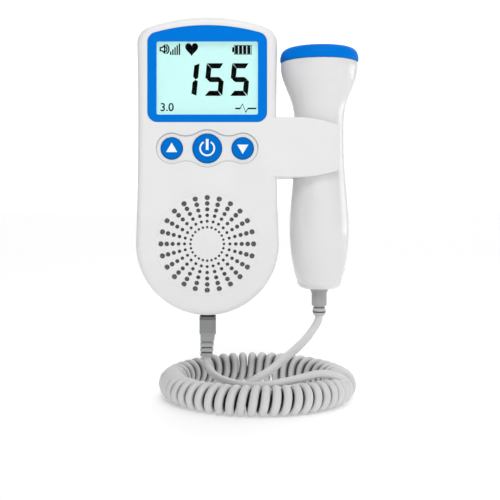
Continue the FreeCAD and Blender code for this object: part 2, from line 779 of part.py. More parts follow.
def battery_contacts():
    """A plate at the top of each cell and a bowed leaf under it."""
    pieces = []
    half = cell_radius - contact_margin
    for side in (-1, 1):
        x = side * (cell_radius + cell_gap / 2)
        top = bay_high
        pieces.append(box(x - half, x + half, cell_y - half, cell_y + half,
                          top - contact_thickness, top))
        pieces.append(box(x - half / 2, x + half / 2, cell_y - half / 2, cell_y + half / 2,
                          bay_high - contact_space + contact_play,
                          top - contact_thickness))
        low = bay_low
        rise = contact_space - 2 * contact_play
        leaf = [Part.Arc(at(x - half, cell_y, low), at(x, cell_y, low + rise),
                         at(x + half, cell_y, low)).toShape(),
                Part.makeLine(at(x + half, cell_y, low), at(x + half - leaf_foot, cell_y, low)),
                Part.Arc(at(x + half - leaf_foot, cell_y, low),
                         at(x, cell_y, low + rise - contact_thickness),
                         at(x - half + leaf_foot, cell_y, low)).toShape(),
                Part.makeLine(at(x - half + leaf_foot, cell_y, low), at(x - half, cell_y, low))]
        strip = Part.Face(Part.Wire(leaf)).extrude(at(0, leaf_width, 0))
        strip.translate(at(0, -leaf_width / 2, 0))
        pieces.append(strip)
    return Part.makeCompound(pieces)


def case_screws():
    """Four pan-head screws, driven from the back into the front shell's bosses."""
    screws = []
    for x, z in screw_places:
        head = rod(screw_head_radius, screw_head_height, x, -screw_head_sink, z, back)
        reach = -screw_head_sink - (parting_y - screw_bite)
        shank = rod(screw_radius, reach, x, -screw_head_sink - reach, z, back)
        floor = -screw_head_sink + screw_head_height - cross_depth
        cross = box(x - cross_reach, x + cross_reach, floor, 0,
                    z - cross_half_width, z + cross_half_width)
        other = box(x - cross_half_width, x + cross_half_width, floor, 0,
                    z - cross_reach, z + cross_reach)
        screws.append(head.fuse(shank).removeSplitter().cut(cross).cut(other))
    return Part.makeCompound(screws)


def headphone_socket():
    """A barrel jack in the left wall: its round nose shows in the joint."""
    half = headphone_side / 2
    wall_x = -waist_half_width + headphone_sink
    inside_x = wall_x + side_wall + headphone_step
    body = box(inside_x, wall_x + headphone_length, parting_y - half, parting_y + half,
               headphone_height - half, headphone_height + half)
    nose = rod(headphone_nose_radius, inside_x - wall_x, wall_x, parting_y, headphone_height,
               at(1, 0, 0))
    bore = rod(headphone_bore_radius, headphone_length + overlap, wall_x - overlap, parting_y,
               headphone_height, at(1, 0, 0))
    return body.fuse(nose).removeSplitter().cut(bore)


def cord_socket():
    """The box in the case's lower end that takes the plug's nose."""
    low = case_bottom + side_wall + socket_gap
    body = box(-socket_half_width, socket_half_width, parting_y - socket_half_depth,
               parting_y + socket_half_depth, low, socket_top)
    well = box(-plug_nose_half_width - slip, plug_nose_half_width + slip,
               parting_y - plug_nose_half_depth - slip, parting_y + plug_nose_half_depth + slip,
               low - overlap, plug_top + plug_nose_length + slip)
    return body.cut(well)


# ------------------------------------------------------------------ the probe
def spun(edges, start, sweep):
    """Turns a section, drawn on the probe's right, about the probe's axis."""
    face = Part.Face(Part.Wire(edges))
    axis_point = at(probe_x, probe_y, 0)
    face.rotate(axis_point, at(0, 0, 1), start)
    return face.revolve(axis_point, at(0, 0, 1), sweep)


def polyline(points):
    """Straight edges through (radius, height) points on the probe's right."""
    places = [at(probe_x + radius, probe_y, height) for radius, height in points]
    return [Part.makeLine(a, b) for a, b in zip(places, places[1:])]


def probe_half(start):
    """One moulded half of the handle, from the head's rim to its foot."""
    outside = probe_curve(0)
    inside = probe_curve(-probe_wall)
    rim, rim_z = probe_stations[0]
    top = rim_z + probe_top_chamfer
    foot_edge = probe_stations[-1]
    bore = gland_radius + slip
    corner = Part.Arc(at(probe_x + foot_edge[0], probe_y, foot_edge[1]),
                      at(probe_x + probe_foot_corner[0], probe_y, probe_foot_corner[1]),
                      at(probe_x + probe_foot_flat, probe_y, probe_foot)).toShape()
    edges = [outside, corner]
    edges += polyline([(probe_foot_flat, probe_foot), (bore, probe_foot),
                       (bore, foot_edge[1]), (foot_edge[0] - probe_wall, foot_edge[1])])
    edges += [inside]
    edges += polyline([(rim - probe_wall, rim_z), (rim - probe_wall, top),
                       (rim - probe_top_chamfer, top), (rim, rim_z)])
    return spun(Part.__sortEdges__(edges), start, 180)


head_z = probe_stations[0][1] + probe_top_chamfer + cap_groove
head_radius = probe_stations[0][0]


def probe_cap():
    """The coloured sensing head: bulged side, round shoulder and a low dome."""
    r = head_radius
    shoulder_z = head_z + cap_side_height
    top = head_z + cap_height
    rim_r = r - cap_rim_in
    rim_z = top - cap_dome

    def point(radius, height):
        return at(probe_x + radius, probe_y, height)

    dome = (rim_r ** 2 + cap_dome ** 2) / (2 * cap_dome)
    dome_z = top - dome + math.sqrt(dome ** 2 - (rim_r / 2) ** 2)
    spigot = r - probe_wall - slip
    inner = spigot - cap_wall
    edges = [
        Part.Arc(point(r, head_z), point(r + cap_bulge, head_z + cap_side_height / 2),
                 point(r, shoulder_z)).toShape(),
        Part.Arc(point(r, shoulder_z), point(r - cap_shoulder_in, shoulder_z + cap_shoulder_up),
                 point(rim_r, rim_z)).toShape(),
        Part.Arc(point(rim_r, rim_z), point(rim_r / 2, dome_z), point(0, top)).toShape(),
    ]
    edges += polyline([(0, top), (0, top - cap_wall), (inner - cap_wall, rim_z - cap_wall),
                       (inner, shoulder_z), (inner, head_z - cap_spigot_length),
                       (spigot, head_z - cap_spigot_length), (spigot, head_z), (r, head_z)])
    return spun(Part.__sortEdges__(edges), 0, 360)


crystal_top = head_z + cap_height - cap_wall - crystal_gap
backing_top = crystal_top - crystal_thickness


def transducer_crystals():
    """Two half discs, one to send and one to listen."""
    disc = rod(crystal_radius, crystal_thickness, probe_x, probe_y, backing_top, at(0, 0, 1))
    gap = box(probe_x - crystal_split / 2, probe_x + crystal_split / 2,
              probe_y - crystal_radius - overlap, probe_y + crystal_radius + overlap,
              backing_top - overlap, crystal_top + overlap)
    return disc.cut(gap)


def crystal_backing():
    """The stepped block that carries the crystals and soaks up their echo."""
    low = backing_top - backing_thickness
    return rod(backing_radius, backing_thickness, probe_x, probe_y, low, at(0, 0, 1))


def probe_board():
    """The slim board along the handle, standing between the two halves."""
    solid = box(probe_x - probe_board_half_width, probe_x + probe_board_half_width,
                probe_y - probe_board_half_thickness, probe_y + probe_board_half_thickness,
                probe_board_low, probe_board_high)
    chip_y = probe_y + probe_board_half_thickness
    chips = [box(probe_x - half, probe_x + half, chip_y, chip_y + height, low, high)
             for half, low, high, height in probe_chips]
    return solid.fuse(chips).removeSplitter()


def board_holder():
    """The post between the board and the backing, which also carries the backing."""
    low = probe_board_high
    high = backing_top - backing_thickness
    return rod(holder_radius, high - low, probe_x, probe_y, low, at(0, 0, 1))


def probe_gland():
    """The grey strain relief: a flare, a sleeve, a neck and a ball end."""
    foot = probe_foot
    sleeve = foot - gland_flare_length
    neck = sleeve - gland_length + gland_sleeve_overlap
    ball = neck - gland_neck_length
    end = tail_route[-1][2]
    stem = gland_radius

    def point(radius, height):
        return at(probe_x + radius, probe_y, height)

    middle = (ball + end) / 2
    edges = polyline([(0, foot + gland_inside), (stem, foot + gland_inside), (stem, foot - slip),
                      (gland_flare_radius, foot - slip)])
    edges.append(Part.Arc(point(gland_flare_radius, foot - slip),
                          point(stem + 0.35, foot - gland_flare_length * 0.6),
                          point(stem, sleeve)).toShape())
    bevel = gland_sleeve_bevel
    edges += polyline([(stem, sleeve), (stem, neck + bevel), (stem - bevel, neck),
                       (gland_neck_radius, neck), (gland_neck_radius, ball)])
    edges.append(Part.Arc(point(gland_neck_radius, ball), point(gland_ball_radius, middle),
                          point(gland_ball_end_radius, end)).toShape())
    edges += polyline([(gland_ball_end_radius, end), (0, end), (0, foot + gland_inside)])
    return spun(Part.__sortEdges__(edges), 0, 360)


# ------------------------------------------------------------------ the cord
def round_bar(half_width, half_depth, corner, z, height):
    """An upright bar with round corners, centred on the plug's axis."""
    solid = box(-half_width, half_width, parting_y - half_depth, parting_y + half_depth,
                z, z + height)
    return fillet_where(solid, corner, lambda edge: abs(edge.BoundBox.ZLength - height) < 1e-6)


def plug_collar():
    """The dark ring at the mouth of the plug."""
    low = plug_top - plug_collar_height
    collar = round_bar(plug_half_width, plug_half_depth, plug_corner, low, plug_collar_height)
    hole = box(-plug_nose_half_width - slip, plug_nose_half_width + slip,
               parting_y - plug_nose_half_depth - slip, parting_y + plug_nose_half_depth + slip,
               low - overlap, plug_top + overlap)
    return collar.cut(hole)


def plug_nose():
    """The contact block that reaches into the case."""
    low = plug_top - plug_collar_height
    solid = box(-plug_nose_half_width, plug_nose_half_width,
                parting_y - plug_nose_half_depth, parting_y + plug_nose_half_depth,
                low, plug_top + plug_nose_length)
    slots = []
    face = parting_y - plug_nose_half_depth
    for place in range(plug_contacts):
        x = (place - (plug_contacts - 1) / 2) * plug_contact_pitch
        slots.append(box(x - plug_contact_half_width, x + plug_contact_half_width,
                         face - overlap, face + plug_contact_depth,
                         plug_top + plug_contact_start, plug_top + plug_nose_length + overlap))
    return solid.cut(Part.makeCompound(slots))


def cord_plug():
    """The moulded plug and its grooved, tapering boot."""
    top = plug_top - plug_collar_height
    low = plug_top - plug_body_length
    grip = round_bar(plug_half_width, plug_half_depth, plug_corner, low, top - low)
    end = lead_route[0][2]
    sections = []
    for half, middle, z in ((boot_top_half, 0.0, low), (boot_end_half, -boot_lean, end)):
        corners = [at(middle + half * right, parting_y + half * rear, z)
                   for right, rear in ((-1, -1), (1, -1), (1, 1), (-1, 1), (-1, -1))]
        sections.append(Part.makePolygon(corners))
    boot = Part.makeLoft(sections, True, True)
    boot = fillet_where(boot, plug_corner, lambda edge: edge.BoundBox.ZLength > boot_length / 2)
    for drop in boot_grooves:
        z = low - drop
        share = drop / (low - end)
        half = boot_top_half + (boot_end_half - boot_top_half) * share
        core = round_bar(half - boot_groove, half - boot_groove, boot_core_corner,
                         z, boot_groove_height)
        core.translate(at(-boot_lean * share, 0, 0))
        around = box(-plug_half_width, plug_half_width, parting_y - plug_half_depth,
                     parting_y + plug_half_depth, z, z + boot_groove_height)
        boot = boot.cut(around.cut(core))
    return grip.fuse(boot).removeSplitter()


def cord_tube(name, route):
    """Straight runs with the largest tangent bends that they allow, as one round tube."""
    places = [at(*point) for point in route]
    runs = [(b - a).Length for a, b in zip(places, places[1:])]
    edges = []
    radii = []
    start = places[0]
    for index in range(1, len(places) - 1):
        corner = places[index]
        before = (places[index - 1] - corner).normalize()
        after = (places[index + 1] - corner).normalize()
        cut_back = arc_share * min(runs[index - 1], runs[index])
        half_turn = (math.pi - before.getAngle(after)) / 2
        radius = cut_back / math.tan(half_turn)
        radii.append(radius)
        begin = corner + before * cut_back
        finish = corner + after * cut_back
        inward = (before + after).normalize()
        middle = corner + inward * (radius / math.cos(half_turn) - radius)
        edges.append(Part.LineSegment(start, begin).toShape())
        edges.append(Part.Arc(begin, middle, finish).toShape())
        start = finish
    edges.append(Part.LineSegment(start, places[-1]).toShape())
    path = Part.Wire(edges)
    first_run = places[1] - places[0]
    ring = Part.Wire([Part.Circle(places[0], first_run, cord_radius).toShape()])
    solid = path.makePipeShell([ring], True, False)
    expected = math.pi * cord_radius ** 2 * path.Length
    print(name, "length", round(path.Length, 1), "volume ratio",
          round(solid.Volume / expected, 4), "bend radii", [round(r, 1) for r in radii])
    return solid


def cord_coil():
    """The curly part, as one fat tube round its ring on the surface."""
    centre = at(ring_x, ring_y, floor_z + coil_radius)
    start = at(ring_x, ring_y - ring_radius, floor_z + coil_radius)
    circle = Part.Circle(start, at(1, 0, 0), coil_radius).toShape()
    face = Part.Face(Part.Wire([circle]))
    up = at(0, 0, 1)
    face.rotate(centre, up, ring_start)
    return face.revolve(centre, up, -ring_sweep)


def parts():
    made = {
        "front_shell": front_shell(),
        "rear_shell": rear_shell(),
        "speaker_grille": speaker_grille(),
        "dust_cloth": dust_cloth(),
        "speaker_basket": speaker_basket(),
        "speaker_cone": speaker_cone(),
        "speaker_magnet": speaker_magnet(),
        "screen_bezel": screen_bezel(),
        "screen_lens": screen_lens(),
        "lcd_panel": lcd_panel(),
        "backlight": backlight(),
        "main_board": main_board(),
        "board_parts": board_parts(),
        "tact_switches": tact_switches(),
        "battery_door": battery_door(),
        "battery_left": battery(-cell_radius - cell_gap / 2),
        "battery_right": battery(cell_radius + cell_gap / 2),
        "battery_contacts": battery_contacts(),
        "case_screws": case_screws(),
        "headphone_socket": headphone_socket(),
        "cord_socket": cord_socket(),
        "probe_front_half": probe_half(180),
        "probe_rear_half": probe_half(0),
        "probe_cap": probe_cap(),
        "transducer_crystals": transducer_crystals(),
        "crystal_backing": crystal_backing(),
        "probe_board": probe_board(),
        "board_holder": board_holder(),
        "probe_gland": probe_gland(),
        "plug_collar": plug_collar(),
        "plug_nose": plug_nose(),
        "cord_plug": cord_plug(),
        "cord_lead": cord_tube("cord_lead", lead_route),
        "cord_coil": cord_coil(),
        "cord_tail": cord_tube("cord_tail", tail_route),
    }
    for name, x, radius in keys():
        made[name] = key_cap(x, radius)
        made[name.replace("button", "plunger")] = key_plunger(x)
    return made


os.makedirs("parts", exist_ok=True)
for node, shape in parts().items():
    print(node, "valid", shape.isValid(), "solids", len(shape.Solids), "volume",
          round(shape.Volume, 1))
    shape.exportStep("parts/" + node + ".step")
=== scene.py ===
"""Looks of a handheld fetal doppler monitor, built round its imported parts."""
import json
import math

import bmesh
import bpy
from mathutils import Matrix, Vector

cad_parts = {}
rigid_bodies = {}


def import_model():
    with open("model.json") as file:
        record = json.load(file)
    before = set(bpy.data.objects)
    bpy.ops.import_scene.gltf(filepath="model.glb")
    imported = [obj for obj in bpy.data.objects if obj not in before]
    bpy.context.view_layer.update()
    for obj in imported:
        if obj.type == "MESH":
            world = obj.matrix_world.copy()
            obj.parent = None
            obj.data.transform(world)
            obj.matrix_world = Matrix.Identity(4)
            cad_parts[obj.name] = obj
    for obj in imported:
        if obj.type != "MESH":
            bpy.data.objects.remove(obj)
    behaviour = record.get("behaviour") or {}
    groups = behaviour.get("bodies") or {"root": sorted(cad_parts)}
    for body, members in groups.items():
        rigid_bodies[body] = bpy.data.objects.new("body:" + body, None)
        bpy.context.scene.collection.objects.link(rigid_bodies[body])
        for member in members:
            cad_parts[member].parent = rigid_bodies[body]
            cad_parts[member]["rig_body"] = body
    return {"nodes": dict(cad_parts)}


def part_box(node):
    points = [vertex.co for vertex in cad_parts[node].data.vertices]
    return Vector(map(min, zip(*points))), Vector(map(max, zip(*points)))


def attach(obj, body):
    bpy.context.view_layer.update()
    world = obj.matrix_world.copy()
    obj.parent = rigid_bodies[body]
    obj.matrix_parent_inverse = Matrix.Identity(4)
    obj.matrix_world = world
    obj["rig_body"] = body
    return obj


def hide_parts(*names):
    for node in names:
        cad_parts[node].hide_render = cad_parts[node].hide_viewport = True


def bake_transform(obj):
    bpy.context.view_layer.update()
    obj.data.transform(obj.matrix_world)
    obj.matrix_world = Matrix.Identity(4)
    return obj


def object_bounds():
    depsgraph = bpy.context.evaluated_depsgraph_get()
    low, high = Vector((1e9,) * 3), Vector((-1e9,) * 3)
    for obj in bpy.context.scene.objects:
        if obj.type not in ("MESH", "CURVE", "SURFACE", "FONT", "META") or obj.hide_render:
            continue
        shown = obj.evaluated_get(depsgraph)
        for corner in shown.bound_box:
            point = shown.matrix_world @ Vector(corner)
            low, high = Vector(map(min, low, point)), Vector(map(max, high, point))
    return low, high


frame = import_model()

bl_info = {
    "name": "Fetal doppler monitor looks",
    "version": (1, 0, 0),
    "blender": (4, 5, 0),
    "location": "3D View > Sidebar > Doppler",
    "description": "Finishes, display, key symbols, curly cord and stage of a fetal doppler",
    "category": "Object",
}

MM = 0.001
CAD_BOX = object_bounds()
AXIS_Y = Vector((0, 1, 0))

# ------------------------------------------------------------------ plastics
CASE_GLOSS = 0.38                # roughness of the case
CASE_GRAIN = 0.000006            # height of the grain on the case, in metres
BLUE_SHINE = 0.02                # the blue plastic reflects little
KEY_SHADE = 0.87                 # the keys are a little darker than the surround

# ------------------------------------------------------------------ the cord's route, in metres
LEAD_ROUTE = [(-0.0006, -0.015, -0.0518), (-0.0006, -0.015, -0.055),
              (0.0008, -0.0167, -0.0582), (0.0042, -0.0216, -0.0604),
              (0.0082, -0.030, -0.0604), (0.0132, -0.039, -0.0601), (0.0204, -0.045, -0.0598),
              (0.0298, -0.0456, -0.0582), (0.0392, -0.0432, -0.0566), (0.0472, -0.0398, -0.055),
              (0.054, -0.0368, -0.056), (0.059, -0.0324, -0.0604)]
TAIL_ROUTE = [(0.0569, -0.0214, -0.0683), (0.0486, -0.0184, -0.0683), (0.040, -0.0156, -0.0683),
              (0.0306, -0.0132, -0.0683), (0.021, -0.0118, -0.0683), (0.0142, -0.0113, -0.0683),
              (0.0092, -0.0122, -0.0683), (0.0046, -0.015, -0.0683), (0.0016, -0.0194, -0.0683),
              (0.0007, -0.0246, -0.0683), (0.0021, -0.0298, -0.068), (0.0056, -0.0338, -0.0673),
              (0.0104, -0.036, -0.0659), (0.0152, -0.0363, -0.063), (0.0196, -0.036, -0.0588),
              (0.0262, -0.035, -0.0556), (0.0315, -0.0313, -0.0519), (0.0355, -0.0268, -0.0497),
              (0.0393, -0.0222, -0.0475), (0.0432, -0.0190, -0.0446), (0.0464, -0.0168, -0.0413),
              (0.0489, -0.0155, -0.0379), (0.0504, -0.015, -0.0352), (0.0504, -0.015, -0.0336)]
GLAND_SINK = 0.0006              # how far the tail's end reaches into the probe's strain relief

# ------------------------------------------------------------------ the curly part
CURLY_CENTRE = Vector((0.0223, -0.015, -0.0638))
CURLY_START = 68.1               # where the curly part begins, in degrees from the front
CURLY_SWEEP = 350.2              # how far round the ring it goes, in degrees
CURLY_LIFT = 52.0                # where on its first turn it begins, in degrees above level

# how open a point lies, and the painted shade that the jacket gets there, darkest in the folds
FOLD_PAINTED_SHADE = {"From Min": 0.3, "From Max": 0.82, "To Min": 0.12, "To Max": 1.0}
RING_PAINTED_SHADE = 0.3                 # how much less open the turns count towards the ring's middle, for more painted shade there
CURLY_END = 73.0                 # the middle of the gap between the curly part's two ends
END_PAINTED_SHADE = 0.25                 # share of the folds' painted shade that is left there
END_FADE = 24.0                  # from there the folds' painted shade grows over this angle, in degrees

# ------------------------------------------------------------------ grooves and bands, with painted shade in the grooves, in metres
BAND_MARGIN = 0.001              # how far the end bands reach past the piece
PLUG_RIMS = (0.00135, 0.0019, 0.00335, 0.0039, 0.0056, 0.0061)  # above the foot of the plug
# from the foot up: lighter bands, with dark lines of painted shade in the boot's grooves
PLUG_PAINTED_SHADES = (1.3, 0.22, 1.42, 0.16, 1.42, 0.5, 1.25, 1.0)
PLUG_GRIP = 0.0060               # height of the plug's darker part, under its collar
BOOT_HEIGHT = 0.0065             # height of the plug's grooved part
BOOT_STRETCH = 0.12              # how much longer that part is drawn, as a share
GLAND_RIMS = (0.0014, 0.0020, 0.0034, 0.0039, 0.0102, 0.02)  # above the foot of the gland
# from the foot up: lighter bands, with dark lines of painted shade at the gland's rims
GLAND_PAINTED_SHADES = (1.3, 0.04, 1.25, 0.2, 1.0, 0.86)

# ------------------------------------------------------------------ reshaped copies, in metres
KEY_RIM = (0.031, 0.051)         # heights between which the rim of the keys' recess lies
RIM_REACH = 0.025                # how far that rim lies to either side, at most
RIM_LEVEL = 0.00002              # how far from the front face an edge of the rim may lie
RIM_ROUND = 0.00048              # width of the rounding on the rim
RIM_PAINTED_SHADES = (("key rim painted shadow line", 0.56), ("key rim painted shade", 0.74))  # painted shade: a dark line on the upper rim and a softer shade on the lower, with their darkness
CLOTH_SPREAD = 1.068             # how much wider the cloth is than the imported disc

# ------------------------------------------------------------------ the display
DISPLAY_GLOW = 0.34              # strength of the display's own light
DISPLAY_UNLIT = 0.76             # share of its colour that stays without that light

# the marks below are in millimetres
FIGURES = (("1", -13.0), ("5", -1.65), ("5", 9.45))  # each large figure and its left edge
FIGURE_FOOT = 64.1
FIGURE_WIDTH = 8.2
FIGURE_HEIGHT = 14.3
FIGURE_LINE = 2.25               # thickness of a figure's bars
FIGURE_GAP = 0.2                 # gap between two bars
FIGURE_LEAN = 0.1                # sideways lean, as a share of the height
FIGURE_BARS = {"1": "bc", "5": "afgcd"}
LEVEL_TRIMS = {"a": (0.0, 0.8), "d": (0.35, 0.25)}  # cut off the left and right of a level bar
ONE_CUT = 0.4                    # how deep the ends of the 1 are cut, as a share of its line
HEART = (-6.85, 84.3, 5.75, 5.9)  # middle, width and height
SPEAKER_PLACE = (-20.9, 84.55)
SPEAKER_OUTER = ((0, -0.95), (0.95, -0.95), (2.55, -2.35), (2.55, 2.35), (0.95, 0.95), (0, 0.95))
SPEAKER_INNER = ((0.6, -0.4), (1.2, -0.4), (1.9, -0.95), (1.9, 0.95), (1.2, 0.4), (0.6, 0.4))
SOUND_ARCS = ((1.5, 100), (2.4, 115))  # radius and sweep in degrees
SOUND_MIDDLE = 1.7               # from the speaker's left end
SOUND_LINE = 0.62
BARS_LEFT = -16.35
BARS_FOOT = 82.0
BARS_TOPS = (83.6, 84.5, 85.4, 86.2, 87.0)
BARS_PITCH = 0.96
BARS_WIDTH = 0.62
BATTERY_PLACE = (11.65, 82.2)
BATTERY_WIDTH = 7.8
BATTERY_HEIGHT = 4.15
BATTERY_LINE = 0.26
BATTERY_KNOB = (-0.8, 0.02, 1.05, 3.2)  # left, right, foot and top of its small end
CHARGE_LEFT = 0.42
CHARGE_PITCH = 1.8
CHARGE_WIDTH = 1.42
CHARGE_MARGIN = 0.3
SMALL_FIGURES = ("3.0", 5.0, -20.7, 57.5)  # words, size, left edge and foot
SMALL_WEIGHT = 0.00007           # widens the small figures' strokes, in metres
PULSE = ((12.2, 58.6), (14.4, 58.6), (15.4, 60.6), (16.8, 57.0), (17.8, 58.6), (21.4, 58.6))
PULSE_HALF = 0.336               # half the height of the pulse line's stroke

# ------------------------------------------------------------------ the keys, in millimetres
ARROW_HALF = 2.44                # half the width of an arrow
UP_ARROW = (-1.66, 2.49)         # heights of its base and tip above the key's middle
DOWN_ARROW = (1.6, -2.46)
POWER_RING = (3.08, 0.74, 30, 300)  # radius, stroke, start and sweep in degrees
POWER_BAR = (0.58, -0.73, 4.05)  # half width, foot and top

# ------------------------------------------------------------------ light
LEFT_SKY = (0.08, 0.08, 0.081, 1)
RIGHT_SKY = (0.1, 0.1, 0.102, 1)
LEFT_SKY_END = 0.2               # these four are shares of the way from left to right
FULL_SKY = (0.365, 0.7)
RIGHT_SKY_END = 0.975
SKY_DEPTH = 0.4                  # the sky changes from front to back over this much of Y


# ------------------------------------------------------------------ sizes and colours
class DopplerSizes(bpy.types.PropertyGroup):
    """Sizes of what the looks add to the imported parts."""
    mark_thickness: bpy.props.FloatProperty(
        name="Mark thickness", description="Thickness of a mark on the display",
        default=0.00004, unit="LENGTH")
    symbol_thickness: bpy.props.FloatProperty(
        name="Symbol thickness", description="Thickness of a printed key symbol",
        default=0.00005, unit="LENGTH")
    cord_radius: bpy.props.FloatProperty(
        name="Cord radius", description="Half the thickness of the cord",
        default=0.00175, unit="LENGTH")
    ring_radius: bpy.props.FloatProperty(
        name="Coil ring radius", description="Radius of the ring that the curly part lies in",
        default=0.038, unit="LENGTH")
    helix_radius: bpy.props.FloatProperty(
        name="Helix radius", description="Radius of one turn, to the middle of the cord",
        default=0.00445, unit="LENGTH")
    turns: bpy.props.IntProperty(
        name="Turns", description="Whole turns of the curly part", default=48)
    back_spread: bpy.props.FloatProperty(
        name="Back spread", description="How much wider apart the turns lie at the back",
        default=0.28)
    curly_thickness: bpy.props.FloatProperty(
        name="Curly thickness", description="Thickness of the cord in its curly part, as a share",
        default=1.07)
    back_swell: bpy.props.FloatProperty(
        name="Back swell", description="How much larger the turns at the back of the ring are",
        default=0.0009, unit="LENGTH")
    back_nearer: bpy.props.FloatProperty(
        name="Back nearer", description="How much less the ring reaches at its back",
        default=0.005, unit="LENGTH")
    points_per_turn: bpy.props.IntProperty(
        name="Points per turn", description="Control points in one turn of the curly part",
        default=16, min=12)
    smooth_angle: bpy.props.FloatProperty(
        name="Smooth angle", description="Edges flatter than this are shaded smooth",
        default=math.radians(32), subtype="ANGLE")


class DopplerColours(bpy.types.PropertyGroup):
    """Colours that a user may change."""
    case_white: bpy.props.FloatVectorProperty(
        name="Case", description="Moulded case", subtype="COLOR", default=(0.825, 0.825, 0.828))
    probe_white: bpy.props.FloatVectorProperty(
        name="Probe", description="Glossy handle", subtype="COLOR", default=(0.785, 0.785, 0.79))
    trim_blue: bpy.props.FloatVectorProperty(
        name="Blue", description="Screen surround, keys and probe cap", subtype="COLOR",
        default=(0.0, 0.188, 0.72))
    display_mint: bpy.props.FloatVectorProperty(
        name="Display", description="Lit display", subtype="COLOR", default=(0.61, 0.99, 0.945))
    ink: bpy.props.FloatVectorProperty(
        name="Ink", description="Dark marks on the display", subtype="COLOR",
        default=(0.0012, 0.002, 0.0024))
    cord_grey: bpy.props.FloatVectorProperty(
        name="Cord", description="Cord's jacket", subtype="COLOR", default=(0.69, 0.69, 0.69))
    gland_grey: bpy.props.FloatVectorProperty(
        name="Gland", description="Probe's strain relief", subtype="COLOR",
        default=(0.40, 0.40, 0.40))
    plug_grey: bpy.props.FloatVectorProperty(
        name="Plug", description="Moulded plug", subtype="COLOR", default=(0.33, 0.34, 0.34))
    collar_grey: bpy.props.FloatVectorProperty(
        name="Collar", description="Ring at the plug's mouth", subtype="COLOR",
        default=(0.175, 0.175, 0.175))


class DopplerStage(bpy.types.PropertyGroup):
    """Camera, floor and light."""
    lens: bpy.props.FloatProperty(
        name="Lens", description="Focal length in millimetres", default=62.2)
    camera_place: bpy.props.FloatVectorProperty(
        name="Camera place", description="Where the camera stands", subtype="XYZ",
        unit="LENGTH", default=(0.0065, -0.406, 0.0159))
    camera_shift: bpy.props.FloatVectorProperty(
        name="Camera shift", description="Shift of the lens right and up, in image widths",
        size=2, default=(0.0557, -0.088))
    floor_size: bpy.props.FloatProperty(
        name="Floor size", description="Side of the square floor", default=30.0, unit="LENGTH")
    front_light: bpy.props.FloatProperty(
        name="Front light", description="Power of the large front light, in watts", default=0.14)
    side_light: bpy.props.FloatProperty(
        name="Side light", description="Power of the upright light strip on the right, in watts",
        default=0.6)
    sky: bpy.props.FloatProperty(
        name="Sky", description="Strength of the light from all round", default=1.3)
    front_share: bpy.props.FloatProperty(
        name="Front share", description="Brightness in front of the object, as a share",
        default=0.72)


class DopplerLooks(bpy.types.PropertyGroup):
    """All settings of the doppler's looks."""
    sizes: bpy.props.PointerProperty(type=DopplerSizes)
    colours: bpy.props.PointerProperty(type=DopplerColours)
    stage: bpy.props.PointerProperty(type=DopplerStage)


# ------------------------------------------------------------------ materials
def new_material(name):
    """A material with its Principled shader and a fresh set of object coordinates."""
    material = bpy.data.materials.new(name)
    material.use_nodes = True
    nodes = material.node_tree.nodes
    shader = nodes["Principled BSDF"]
    place = nodes.new("ShaderNodeTexCoord")
    return material, shader, place


def noise(material, place, scale, detail=3.0, stretch=(1, 1, 1)):
    """A noise pattern on object coordinates, scale in cells per metre."""
    nodes = material.node_tree.nodes
    links = material.node_tree.links
    mapping = nodes.new("ShaderNodeMapping")
    mapping.inputs["Scale"].default_value = stretch
    pattern = nodes.new("ShaderNodeTexNoise")
    pattern.inputs["Scale"].default_value = scale
    pattern.inputs["Detail"].default_value = detail
    links.new(place.outputs["Object"], mapping.inputs["Vector"])
    links.new(mapping.outputs["Vector"], pattern.inputs["Vector"])
    return pattern


def spread(material, source, low, high):
    """Maps a pattern onto the range from low to high."""
    node = material.node_tree.nodes.new("ShaderNodeMapRange")
    node.inputs["From Min"].default_value = 0.3
    node.inputs["From Max"].default_value = 0.7
    node.inputs["To Min"].default_value = low
    node.inputs["To Max"].default_value = high
    material.node_tree.links.new(source, node.inputs["Value"])
    return node.outputs["Result"]


def tint(material, source, colour, change):
    """A colour that a pattern darkens and lightens a little."""
    nodes = material.node_tree.nodes
    ramp = nodes.new("ShaderNodeValToRGB")
    ramp.color_ramp.elements[0].position = 0.3
    ramp.color_ramp.elements[1].position = 0.7
    ramp.color_ramp.elements[0].color = [c * (1 - change) for c in colour] + [1]
    ramp.color_ramp.elements[1].color = [min(1, c * (1 + change)) for c in colour] + [1]
    material.node_tree.links.new(source, ramp.inputs["Fac"])
    return ramp.outputs["Color"]


def bump(material, shader, source, height):
    """Raises the surface by a pattern, height in metres."""
    node = material.node_tree.nodes.new("ShaderNodeBump")
    node.inputs["Distance"].default_value = height
    node.inputs["Strength"].default_value = 1.0
    material.node_tree.links.new(source, node.inputs["Height"])
    material.node_tree.links.new(node.outputs["Normal"], shader.inputs["Normal"])


def moulded(name, colour, gloss, grain=0.0, change=0.015, grain_scale=2600.0, shine=0.5):
    """Moulded plastic: faint flow marks, a fine grain and slightly uneven gloss."""
    material, shader, place = new_material(name)
    shader.inputs["Specular IOR Level"].default_value = shine
    links = material.node_tree.links
    flow = noise(material, place, 55.0, 2.0)
    links.new(tint(material, flow.outputs["Fac"], colour, change), shader.inputs["Base Color"])
    smear = noise(material, place, 240.0, 4.0)
    links.new(spread(material, smear.outputs["Fac"], gloss * 0.88, gloss * 1.12),
              shader.inputs["Roughness"])
    if grain:
        speckle = noise(material, place, grain_scale, 2.0)
        bump(material, shader, speckle.outputs["Fac"], grain)
    return material


def rubbery(name, colour, gloss=0.5, grain=0.00002):
    """Soft vinyl: slightly mottled, with a fine matt skin."""
    material = moulded(name, colour, gloss, grain, 0.05, 1800.0)
    shader = material.node_tree.nodes["Principled BSDF"]
    shader.inputs["Sheen Weight"].default_value = 0.08
    shader.inputs["Sheen Roughness"].default_value = 0.6
    return material


